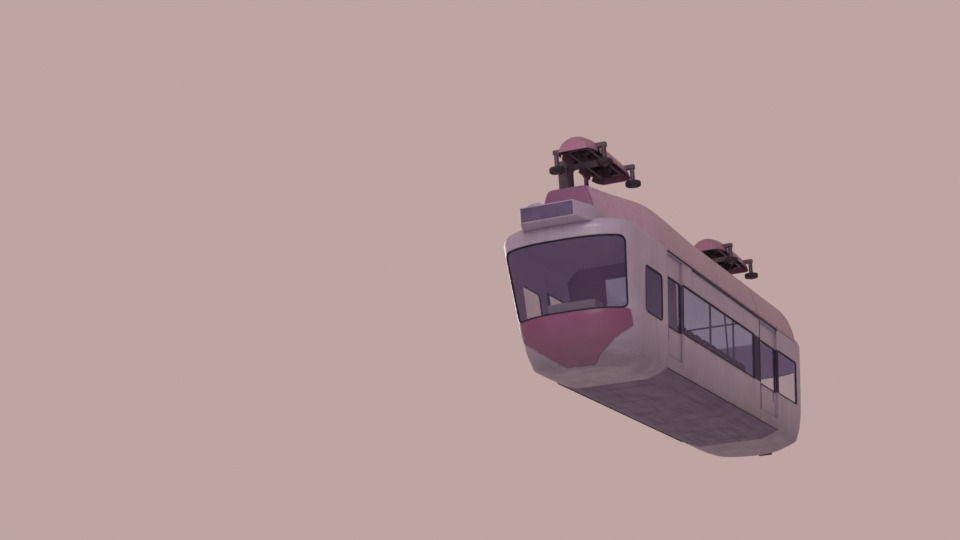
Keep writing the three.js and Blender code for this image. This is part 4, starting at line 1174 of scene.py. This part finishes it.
def cover_outline(pivot):
    """Edge of the cover in its two parameters: both feet, stepped up over each notch."""
    rows = []
    near, far, level = BRACKET_NOTCH
    half, arm_top = ARM_NOTCH
    for side, notches in ((1, ()), (-1, [(-half, half, arm_top)])):
        corners = [(COVER_THICK - COVER_HALF, COVER_LOW)]
        for x0, x1, top in ((-far, -near, level), *notches, (near, far, level)):
            corners += [(x0, COVER_LOW), (x0, top), (x1, top), (x1, COVER_LOW)]
        corners.append((COVER_HALF - COVER_THICK, COVER_LOW))
        x, z = np.array(corners).T
        radius = cover_radius(x)
        foot = np.arcsin(COVER_LOW / radius)
        across = (np.pi / 2 - np.arcsin(z / radius)) / (np.pi / 2 - foot) * COVER_TURN
        rows.append(np.c_[x + pivot, side * across])
    return np.vstack([rows[0], rows[1][::-1]])


COVER_RED = weathered_paint(
    "cover_red", (0.50, 0.23, 0.38), (0.45, 0.22, 0.36), 0.42, 0.22, BARE_MOULDING)
across = np.linspace(-COVER_TURN, COVER_TURN, 61)
for end, pivot in BOGIES:
    surface = cover_surface(pivot)
    points, faces, marks = walled_cut(surface, [cover_outline(pivot)], (0, COVER_THICK), 0.035)
    walls = [rounded_end(
        lambda back, sunk: surface(pivot + way * (COVER_HALF - back), across, sunk), COVER_THICK)
        for way in (1, -1)]
    fitted(f"cover_{end}", *joined((points, faces), *walls), COVER_RED, f"bogie_{end}",
           "cover_paint", [f"bogie_{end}_cover"], longer(marks, *walls))

# Wheels: two rubber tyres in line on each bogie, on steel discs with wheel nuts, and four small
# guide wheels with solid tyres that lie level under its corners. All are turned about their axles.
def turned(profile, centre, axis, steps=72):
    """A closed profile of radius and height carried round an axis, Y or Z, at a centre."""
    angle = np.linspace(0, 2 * np.pi, steps, endpoint=False)[:, None]
    radius, along = profile.T
    first, second = radius * np.cos(angle), radius * np.sin(angle)
    along = np.broadcast_to(along, first.shape)
    order = (first, along, second) if axis == "Y" else (first, second, along)
    return net(np.stack(order, axis=-1) + np.asarray(centre))


TYRE_R, TYRE_HALF, BEAD = 0.175, 0.100, 0.105
GROOVES, GROOVE_HALF, GROOVE_DEEP = (-0.036, -0.012, 0.012, 0.036), 0.0036, 0.007
AXLE_X, AXLE_Z = 0.62, 0.175
GUIDE_X, GUIDE_Y, GUIDE_Z = 0.80, 0.47, -0.150


def tyre_profile():
    """Tyre section: a crowned tread, r = R - 0.006 (h / half tread)^2, with four square grooves
    7 mm deep, round shoulders, and walls that bulge out and turn in to the beads."""
    half_tread = TYRE_HALF - 0.022
    h = np.linspace(half_tread, -half_tread, 79)
    cut = (np.abs(h[:, None] - np.array(GROOVES)) < GROOVE_HALF).any(axis=1)
    tread = np.c_[TYRE_R - 0.006 * (h / half_tread) ** 2 - GROOVE_DEEP * cut, h]
    a = np.linspace(0.0, 1.0, 14)[:, None]
    shoulder, bulge = [TYRE_R - 0.006, half_tread], [TYRE_R - 0.030, TYRE_HALF + 0.004]
    wall = [BEAD + 0.022, TYRE_HALF - 0.004]
    bead = [BEAD, TYRE_HALF - 0.030]
    side = ((1 - a) ** 3 * shoulder + 3 * a * (1 - a) ** 2 * bulge
            + 3 * a ** 2 * (1 - a) * wall + a ** 3 * bead)
    lower = side * [1, -1]
    return np.vstack([side[::-1], tread[1:-1], lower, [[BEAD, -0.05], [BEAD, 0.05]]])


def tyre_finish():
    """Worn rubber: sooty black, greyed by dust in patches, with a fine tooth."""
    finish, sockets, place = open_finish("tyre_rubber_worn")
    dusty = patches(place, 0.05, 4, 0.35, 0.7)
    mix(dusty, (0.022, 0.020, 0.024), (0.060, 0.050, 0.058)).into(sockets["Base Color"])
    (dusty * 0.15 + 0.7).into(sockets["Roughness"])
    bump(grain(place, 0.004, 2), 0.0008).into(sockets["Normal"])
    return finish


TYRE_RUBBER = tyre_finish()


def even_profile(half, radius):
    """A profile from its upper half, rows of radius and height, with its corners rounded."""
    half = np.array(half)
    return rounded(np.vstack([half, half[::-1] * [1, -1]]), radius, 4)


DISC = even_profile([
    [0.0001, 0.245], [0.035, 0.245], [0.035, 0.110], [0.070, 0.110], [0.090, 0.045],
    [BEAD - 0.0003, 0.069],
], 0.004)
GUIDE_DISC = even_profile([[0.0265, 0.050], [0.062, 0.050], [0.080, 0.030], [0.108, 0.030]], 0.004)
GUIDE_TYRE = even_profile([[0.1085, 0.044], [0.138, 0.046], [0.150, 0.030]], 0.008)


def nuts(centre, axis, ring, faces_at, size, count):
    """Six-sided nuts in a ring on both faces of a wheel, each a short prism with a cut corner."""
    made = []
    six = np.arange(6) * np.pi / 3
    for at in range(count):
        place = 2 * np.pi * at / count
        u, v = ring * np.cos(place), ring * np.sin(place)
        for way in (1, -1):
            levels = np.array([-0.004, 0.7, 1.0]) * size * way + way * faces_at
            widths = np.array([1.0, 1.0, 0.82]) * size
            a = u + widths[:, None] * np.cos(six)
            b = v + widths[:, None] * np.sin(six)
            c = np.broadcast_to(levels[:, None], a.shape)
            order = (a, c, b) if axis == "Y" else (a, b, c)
            made.append(skinned(np.stack(order, axis=-1) + np.asarray(centre)))
    return joined(*made)


WHEEL_NUTS = (0.0555, 0.110, 0.009, 6)  # radius of the ring, face, size, count
GUIDE_NUTS = (0.094, 0.030, 0.007, 6)
GUIDE_CORNERS = ((1, 1), (1, -1), (-1, 1), (-1, -1))
for end, pivot in BOGIES:
    for number, way in ((1, 1), (2, -1)):
        centre = (pivot + way * AXLE_X, 0, AXLE_Z)
        body = f"wheelset_{end}_{number}"
        fitted(f"running_tyre_{end}_{number}", *turned(tyre_profile(), centre, "Y", 96),
               TYRE_RUBBER, body, "tyre_rubber", [f"tyre_{end}_{number}"])
        disc = joined(turned(DISC, centre, "Y"), nuts(centre, "Y", *WHEEL_NUTS))
        fitted(f"disc_and_axle_{end}_{number}", *disc, PRIMED, body, "steel",
               [f"axle_{end}_{number}"])
    for number, (along, side) in enumerate(GUIDE_CORNERS, 1):
        centre = (pivot + along * GUIDE_X, side * GUIDE_Y, GUIDE_Z)
        body = f"guide_{end}_{number}"
        node = f"guide_wheel_{end}_{number}"
        fitted(f"guide_tyre_{end}_{number}", *turned(GUIDE_TYRE, centre, "Z", 64),
               TYRE_RUBBER, body, "tyre_rubber", [node])
        disc = joined(turned(GUIDE_DISC, centre, "Z", 48), nuts(centre, "Z", *GUIDE_NUTS))
        fitted(f"guide_disc_{end}_{number}", *disc, PRIMED, body, "steel", [node])

# Underframe and belly: a welded floor with deep keelsons, and pressed pans under it. Outside,
# the sills under the doors are painted like the walls, and the floor is covered by a dark mat.
SILL_FACE, MAT_LEVEL, MAT_RIBS = (1.062, 1.068), (0.226, 0.2285), 420.0


def underframe_finish():
    """By place: wall paint on the sills' outer faces, a ribbed mat on top, grey primer below."""
    finish, sockets, place = open_finish("underframe_coats")
    y, z = coordinate(place, 1), coordinate(place, 2)
    out = step_between(y.math("ABSOLUTE", y), *SILL_FACE)
    top = step_between(z, SKIRT + MAT_LEVEL[0], SKIRT + MAT_LEVEL[1])
    cloud = patches(place, 0.7, 4, 0.3, 0.7)
    paint, _, _ = coat(place, WHITE_FRESH, WHITE_FADED, 0.22)
    primer = mix(cloud, (0.15, 0.115, 0.15), (0.11, 0.085, 0.11))
    mat = mix(cloud, (0.060, 0.050, 0.062), (0.085, 0.070, 0.082))
    colour = mix(out, primer, paint)
    mix(top, colour, mat).into(sockets["Base Color"])
    (cloud * 0.2 + top * 0.2 - out * 0.15 + 0.5).into(sockets["Roughness"])
    ribs = y * MAT_RIBS
    bump(ribs.math("SINE", ribs) * top + cloud, 0.0012).into(sockets["Normal"])
    return finish


softened("underframe", "floor_and_sills", 0.003, underframe_finish(), "car_body")


def belly_finish():
    """Underside paint: dark violet grey, stained along the car by spray, dusty in clouds."""
    finish, sockets, place = open_finish("belly_paint")
    spray = patches(place, (1.6, 0.10, 0.10), 4, 0.40, 0.72)
    cloud = patches(place, 0.6, 3, 0.3, 0.7)
    colour = mix(cloud, (0.182, 0.140, 0.24), (0.158, 0.121, 0.21))
    mix(spray * 0.35, colour, (0.12, 0.09, 0.13)).into(sockets["Base Color"])
    (spray * 0.15 + cloud * 0.1 + 0.5).into(sockets["Roughness"])
    bump(grain(place, 0.35, 2), 0.003).into(sockets["Normal"])
    return finish


BELLY = belly_finish()
softened("belly_pan", "belly_pans", 0.010, BELLY, "car_body", 18)

# Belly battens and skirt beads: flat battens cover the joints of the pans, each held by a row of
# nine screws, and a black bead fills the fold where the pans meet the skirts.
BATTEN_X = np.linspace(-3.1, 3.5, 6)
BATTEN_HALF, BATTEN_PROUD = 0.022, 0.003
BATTEN_SCREW_Y, BATTEN_SCREW_LEVEL = np.linspace(-0.62, 0.62, 9), -0.1625
BEAD_X, BEAD_Y, BEAD_LEVELS = (-3.59, 3.99), (1.066, 1.084), (-0.014, 0.001)
PAN_SECTION = np.array([[0.0, -0.1603], [0.700, -0.160], [0.940, -0.070], [1.066, -0.0003]])
batten_y = np.linspace(-1.052, 1.052, 121)


def belly_ring(x, depths):
    """A strip round the belly from one skirt over the flat to the other, between two depths: the
    pans' section, z(|y|), averaged over 24 mm and lowered."""
    near = np.abs(batten_y + np.linspace(-0.012, 0.012, 7)[:, None])
    level = np.interp(near, *PAN_SECTION.T).mean(axis=0) + SKIRT
    layers = [np.c_[batten_y, level + depth] for depth in depths]
    section = np.vstack([layers[0], layers[1][::-1]])
    return np.c_[np.full(len(section), x), section]


battens = []
for x in BATTEN_X:
    rings = [belly_ring(x + way * BATTEN_HALF, (-BATTEN_PROUD, 0.001)) for way in (-1, 1)]
    battens.append(skinned(np.stack(rings)))
places = np.stack(np.meshgrid(BATTEN_X, BATTEN_SCREW_Y, indexing="ij"), axis=-1).reshape(-1, 2)
places = np.c_[places, np.full(len(places), BATTEN_SCREW_LEVEL + SKIRT)]
battens.append(domes(places, [0.001, 0, -1.0], 0.009, 0.004))
fitted("belly_battens", *joined(*battens), BELLY, "car_body", "underside_paint")
bead_ends = np.array([BEAD_X, BEAD_Y, BEAD_LEVELS]).T + [0, 0, SKIRT]
bead = soft_box(*bead_ends, 0.005)
beads = [mirrored(bead, sign) for _, sign in SIDES]
fitted("skirt_beads", *joined(*beads), RUBBER, "car_body", "tyre_rubber")

# Saloon linings: the partition behind the front doors and the bench shells are board with a
# speckled laminate on both faces, screwed to the walls and the floor, and scuffed near it.
def laminate(name, tone, worn, gloss=0.5):
    """Laminate: a fine speckle on its tone, cleaner above, dark heel marks near the floor."""
    finish, sockets, place = open_finish(name, Specular_IOR_Level=gloss)
    speckle = patches(place, 0.004, 1, 0.52, 0.60)
    cloud = grain(place, 0.5, 3)
    near_floor = step_between(coordinate(place, 2), SKIRT + 0.55, SKIRT + 0.25)
    heels = near_floor * patches(place, (0.20, 0.20, 0.03), 4, 0.50, 0.60)
    colour = mix(cloud * 0.4 + speckle * 0.3, tone, worn)
    mix(heels * 0.6, colour, (0.05, 0.045, 0.05)).into(sockets["Base Color"])
    (cloud * 0.15 + heels * 0.2 + 0.38).into(sockets["Roughness"])
    bump(speckle, 0.0003).into(sockets["Normal"])
    return finish


PARTITION_LAMINATE = laminate("partition_laminate", (0.28, 0.205, 0.34), (0.24, 0.175, 0.29))
BENCH_LAMINATE = laminate("bench_laminate", (0.045, 0.030, 0.060), (0.060, 0.042, 0.080), 0.0)
softened("partition", "partition_board", 0.003, PARTITION_LAMINATE, "car_body")
BENCH_X, SEATS_IN_ROW = (-1.6, 2.9), 9
BENCH_FOOT, BENCH_SEAT, BENCH_TOP, BENCH_DIP = 0.2303, 0.600, 1.055, 0.105
stations = np.linspace(*BENCH_X, 14 * SEATS_IN_ROW + 1)
in_seat = 2 * ((stations - BENCH_X[0]) / np.ptp(BENCH_X) * SEATS_IN_ROW % 1) - 1
top = BENCH_TOP - BENCH_DIP * np.abs(in_seat) ** 6
low = np.full_like(top, BENCH_FOOT)
seat = np.full_like(top, BENCH_SEAT)
corner_y = np.array([0.560, 0.985, 1.030, 1.024, 0.996, 0.990, 0.968, 0.566, 0.560])
corner_z = np.stack([low, low, top - 0.006, top, top, top - 0.006, seat, seat, seat - 0.006], axis=1)
bench_rings = np.stack(
    [np.broadcast_to(part, corner_z.shape) for part in (stations[:, None], corner_y, corner_z + SKIRT)],
    axis=-1)
for side, sign in SIDES:
    fitted(f"bench_shell_{side}", *mirrored(skinned(bench_rings), sign),
           BENCH_LAMINATE, "car_body", "lining", [f"bench_{side}"], crease=50)

# Driver's desk: a moulded console under the windshield with three round dials and two short
# levers on the face that slopes to the seat.
DESK_SLOPE = np.array([[5.33, 0.880], [5.60, 1.000]])
DESK_MOULDING = laminate("desk_moulding", (0.42, 0.40, 0.48), (0.34, 0.32, 0.39))
softened("desk", "desk_console", 0.018, DESK_MOULDING, "car_body")
slope_run = np.diff(DESK_SLOPE, axis=0)[0]
slope_run /= np.linalg.norm(slope_run)
slope_axes = np.array([[slope_run[0], 0, slope_run[1]], [0, 1, 0], [-slope_run[1], 0, slope_run[0]]])
slope_middle = np.array([*DESK_SLOPE.mean(axis=0), 0])[[0, 2, 1]] + [0, 0, SKIRT]


def tube(radii, heights, steps=24):
    """A turned form about its own third axis: r(h) carried round in equal steps."""
    angle = np.linspace(0, 2 * np.pi, steps, endpoint=False)
    radii, heights = np.asarray(radii, float)[:, None], np.asarray(heights, float)[:, None]
    return np.stack(np.broadcast_arrays(
        radii * np.cos(angle), radii * np.sin(angle), heights + 0 * angle), axis=-1)


BEZEL_R, BEZEL_H = [0.052, 0.052, 0.046, 0.044, 0.044], [-0.002, 0.006, 0.009, 0.006, 0.002]
LEVER_R = [0.020, 0.020, 0.008, 0.006, 0.006, 0.014, 0.016, 0.010]
LEVER_H = [-0.002, 0.008, 0.014, 0.020, 0.085, 0.092, 0.104, 0.116]
DIAL_Y, LEVER_Y = (-0.16, 0.0, 0.16), (-0.33, 0.33)
fittings = [tube(BEZEL_R, BEZEL_H) + [0.02, y, 0] for y in DIAL_Y]
fittings += [tube(LEVER_R, LEVER_H, 16) + [0, y, 0] for y in LEVER_Y]
made = [skinned(rings @ slope_axes + slope_middle) for rings in fittings]
fitted("desk_dials_and_levers", *joined(*made), DARK_METAL, "car_body", "lining")

# Grab frame: two posts and a cross rail of coated tube over the aisle, each end held by a flange
# that is screwed to the floor, the ceiling or the wall.
GRAB_X, GRAB_Y, GRAB_R, RAIL_Z, RAIL_REACH = -1.75, 0.64, 0.018, 2.0, 0.98
POST_LOW, POST_HIGH = 0.2303, 2.3597
FLANGE_R, FLANGE_H = [0.042, 0.042, 0.030, GRAB_R], [0.0, 0.005, 0.010, 0.022]
post_r = [*FLANGE_R, *FLANGE_R[::-1]]
post_h = POST_LOW + np.r_[FLANGE_H, POST_HIGH - POST_LOW - np.array(FLANGE_H[::-1])]
rail_h = np.r_[-RAIL_REACH + np.array(FLANGE_H), RAIL_REACH - np.array(FLANGE_H[::-1])]
posts = [skinned(tube(post_r, post_h) + [GRAB_X, y, SKIRT]) for y in (-GRAB_Y, GRAB_Y)]
crossing = skinned(tube(post_r, rail_h)[..., [0, 2, 1]] + [GRAB_X, 0, RAIL_Z + SKIRT])
fitted("grab_posts", *joined(*posts, crossing), DARK_METAL, "car_body", "steel", ["grab_frame"])

# Seats: foam pads in a coated fabric, sewn with a welt round the top edge and two seams across,
# lying in rows on the bench shells. Each kind of pad is stuffed once and then laid in its places.
WELT_AT, TIGHT = 0.86, 0.004
FILLING_FRAMES, FILLING_PRESSURE = 20, 4.0


def wrapped(outline, thick):
    """A slack pad to be stuffed: an outline in (u, v) carried up w, its rim drawn in at both
    faces, all a little smaller than the finished pad."""
    levels = np.array([0.0, 0.22, 0.55, WELT_AT, 1.0]) * thick
    draw = np.array([0.10, 0.0, 0.0, 0.0, 0.10]) * thick + TIGHT
    return skinned(np.stack([
        np.c_[grown(outline, -inset), np.full(len(outline), level)]
        for inset, level in zip(draw, levels)]))


def stuffed(name, outline, thick, cap, voxel):
    """Fills a slack pad: an even mesh by voxels, its resting face and its welt held, some frames
    of cloth under pressure without weight, each point's move d drawn in to d cap / (cap + |d|),
    and one subdivision. The resting face ends flat at w = 0."""
    scene = bpy.context.scene
    slack = add_mesh(name, *wrapped(outline, thick), RUBBER)
    remesh = slack.modifiers.new("even", "REMESH")
    remesh.mode = "VOXEL"
    remesh.voxel_size = voxel
    even = bpy.data.meshes.new_from_object(slack.evaluated_get(scene_graph()))
    slack.modifiers.clear()
    slack.data = even
    rest = coordinates(even)
    on_rim = nearest(rest[:, :2], [grown(outline, -TIGHT)]) < 0.6 * voxel
    welt = on_rim & (np.abs(rest[:, 2] - WELT_AT * thick) < 0.6 * voxel)
    held = welt | (rest[:, 2] < 0.30 * thick)
    moved = rest
    group = slack.vertex_groups.new(name="held")
    group.add(np.nonzero(held)[0].tolist(), 1.0, "REPLACE")
    cloth = slack.modifiers.new("filling", "CLOTH")
    cloth.settings.use_pressure = True
    cloth.settings.uniform_pressure_force = FILLING_PRESSURE
    cloth.settings.vertex_group_mass = "held"
    cloth.settings.effector_weights.gravity = 0
    cloth.point_cache.frame_start = 1
    cloth.point_cache.frame_end = FILLING_FRAMES
    for now in range(1, FILLING_FRAMES + 1):
        scene.frame_set(now)
    filled = bpy.data.meshes.new_from_object(slack.evaluated_get(scene_graph()))
    moved = coordinates(filled)
    slack.modifiers.clear()
    scene.frame_set(1)
    shift = moved - rest
    length = np.linalg.norm(shift, axis=1, keepdims=True)
    moved = rest + shift * cap / (cap + length)
    moved[:, 2] = np.maximum(moved[:, 2], 0)
    even.vertices.foreach_set("co", moved.ravel())
    finer = slack.modifiers.new("finer", "SUBSURF")
    finer.levels = finer.render_levels = 1
    smooth = bpy.data.meshes.new_from_object(slack.evaluated_get(scene_graph()))
    bpy.data.objects.remove(slack)
    return coordinates(smooth), [list(face.vertices) for face in smooth.polygons]


def scene_graph():
    """The scene with all modifiers worked out, as it stands at this moment."""
    return bpy.context.evaluated_depsgraph_get()


def coordinates(mesh):
    """A mesh's points as rows of x, y and z."""
    found = np.empty(3 * len(mesh.vertices), np.float32)
    mesh.vertices.foreach_get("co", found)
    return found.reshape(-1, 3).astype(float)


SEAM_DEPTH, SEAM_WIDTH, WELT_RADIUS = 0.006, 0.012, 0.004


def pad(name, outline, thick, cap, seams, voxel=0.020):
    """A stuffed pad with seams pressed across it, w - depth exp(-(distance / width)^2) on its
    upper half, and a round welt along its rim."""
    points, faces = stuffed(name, outline, thick, cap, voxel)
    upper = np.clip(points[:, 2] / thick, 0, 1)
    for seam in seams:
        points[:, 2] -= SEAM_DEPTH * upper * np.exp(-((points[:, 1] - seam) / SEAM_WIDTH) ** 2)
    turn = np.linspace(0, 2 * np.pi, 8, endpoint=False)
    section = WELT_RADIUS * np.c_[np.cos(turn), np.sin(turn)]
    path = spaced(grown(outline, -0.005), 0.02)
    welt = strip_round(
        lambda u, v, depth_in: np.stack([u, v, WELT_AT * thick - depth_in], -1), path, section)
    return joined((points, faces), net(welt))


def thirds(length):
    """The two places that part a length in three."""
    return length / 3, 2 * length / 3


def laid(part, origin, axes):
    """Places a pad's own (u, v, w) into the car: origin + u a + v b + w c."""
    points, faces = part
    return np.asarray(origin) + points @ np.asarray(axes, float), faces


def seat_fabric():
    """Coated seat fabric: fine grain cells in the coat, creases, rubbed paler and glossier in patches.
    """
    finish, sockets, place = open_finish("seat_cover", Specular_IOR_Level=0.3)
    cells = place.node("ShaderNodeTexVoronoi", {"feature": "DISTANCE_TO_EDGE"},
                       {"Vector": place, "Scale": 320.0}, "Distance")
    crease = grain(place, 0.03, 4)
    rubbed = patches(place, 0.20, 3, 0.42, 0.68)
    mix(rubbed, (0.060, 0.024, 0.050), (0.105, 0.042, 0.075)).into(sockets["Base Color"])
    (0.62 - rubbed * 0.2).into(sockets["Roughness"])
    bump(cells * 2.0 + crease * 0.5, 0.0015).into(sockets["Normal"])
    return finish


SEAT_FABRIC = seat_fabric()
ROW_X = (-1.583, 2.883)
SEAT_PITCH = (ROW_X[1] - ROW_X[0]) / SEATS_IN_ROW
PAD_HALF = SEAT_PITCH / 2 - 0.004
row_centres = ROW_X[0] + SEAT_PITCH * (np.arange(SEATS_IN_ROW) + 0.5)
SEAT_Y, SEAT_Z, SEAT_THICK = (0.548, 0.952), 0.6006, 0.076
BACK_FOOT, BACK_TOP, BACK_THICK = (0.9690, 0.708), (0.9865, 1.002), 0.066
seat_long = SEAT_Y[1] - SEAT_Y[0]
seat_outline = soft_outline(upright(-PAD_HALF, PAD_HALF, 0, seat_long), 0.035)
back_run = np.subtract(BACK_TOP, BACK_FOOT)
back_long = np.linalg.norm(back_run)
back_run /= back_long
back_outline = soft_outline(trapezium(0, PAD_HALF, back_long, PAD_HALF - 0.03), 0.075)
seat_pad = pad("seat_pad", seat_outline, SEAT_THICK, 0.022, thirds(seat_long))
back_pad = pad("back_pad", back_outline, BACK_THICK, 0.016, thirds(back_long))
for side, sign in SIDES:
    seat_axes = [[1, 0, 0], [0, sign, 0], [0, 0, 1]]
    back_axes = [[1, 0, 0], [0, sign * back_run[0], back_run[1]],
                 [0, -sign * back_run[1], back_run[0]]]
    kinds = (("seat_pads", seat_pad, SEAT_Y[0], SEAT_Z, seat_axes),
             ("back_pads", back_pad, *BACK_FOOT, back_axes))
    for name, one, y, z, axes in kinds:
        row = [laid(one, [x, sign * y, z + SKIRT], axes) for x in row_centres]
        pads = fitted(f"{name}_{side}", *joined(*row), SEAT_FABRIC, "car_body", "seat_cover",
                      [f"cushion_{side}"], crease=80)

# Driver's seat: a turned steel pedestal carries a pressed tray and a back board, each with one
# stuffed pad in the same coated fabric.
DRIVER_X, TRAY_Z, TRAY_HALF = 4.85, 0.560, (0.212, 0.222)
PEDESTAL_R = [0.110, 0.110, 0.100, 0.055, 0.045, 0.045, 0.060, 0.060]
PEDESTAL_H = [0.2303, 0.238, 0.246, 0.256, 0.275, 0.530, 0.540, 0.5535]
TRAY_LEVELS = ((-0.012, -0.012), (-0.006, -0.002), (-0.0005, 0.0))
pan_outline = soft_outline(trapezium(-TRAY_HALF[1], TRAY_HALF[0], TRAY_HALF[1], TRAY_HALF[0]), 0.07)
STAY = np.array(upright(-0.05, 0.05, -0.02, 0.01))
STAY_PATH = ((4.60, 0.548), (4.575, 0.60), (4.592, 0.70))
board_foot, board_top = np.array([4.617, 0.640]), np.array([4.563, 1.135])
board_run = board_top - board_foot
board_long = np.linalg.norm(board_run)
board_run /= board_long
board_outline = soft_outline(trapezium(0, 0.212, board_long, 0.195), 0.09)
board_axes = [[0, 1, 0], [board_run[0], 0, board_run[1]], [board_run[1], 0, -board_run[0]]]
board_place = [board_foot[0], 0, board_foot[1] + SKIRT]
pan_place = [DRIVER_X + 0.008, 0, TRAY_Z + SKIRT]


def tray(outline, levels):
    """A pressed board: its outline at each level, drawn in a little at the first."""
    rings = [np.c_[grown(outline, by), np.full(len(outline), w)] for w, by in levels]
    return skinned(np.stack(rings))


pedestal = skinned(tube(PEDESTAL_R, PEDESTAL_H, 40) + [DRIVER_X, 0, SKIRT])
pan_tray = laid(tray(pan_outline, TRAY_LEVELS), pan_place, np.eye(3))
back_board = laid(tray(board_outline, TRAY_LEVELS), board_place, board_axes)
stay_rings = np.stack(
    [np.c_[x + STAY[:, 1], STAY[:, 0], np.full(4, z + SKIRT)] for x, z in STAY_PATH])
fitted("driver_seat_stand", *joined(pedestal, pan_tray, back_board, skinned(stay_rings)), PRIMED,
       "car_body", "steel", ["driver_seat"])
pan_pad = pad("pan_pad", pan_outline, 0.080, 0.020, (-0.07, 0.07), 0.014)
driver_pan = fitted("driver_seat_pad", *laid(pan_pad, pan_place, np.eye(3)), SEAT_FABRIC,
                    "car_body", "seat_cover", ["driver_seat"], crease=80)
board_pad = pad("board_pad", board_outline, 0.052, 0.016, thirds(board_long), 0.014)
driver_back = fitted("driver_back_pad", *laid(board_pad, board_place, board_axes), SEAT_FABRIC,
                     "car_body", "seat_cover", ["driver_seat"], crease=80)
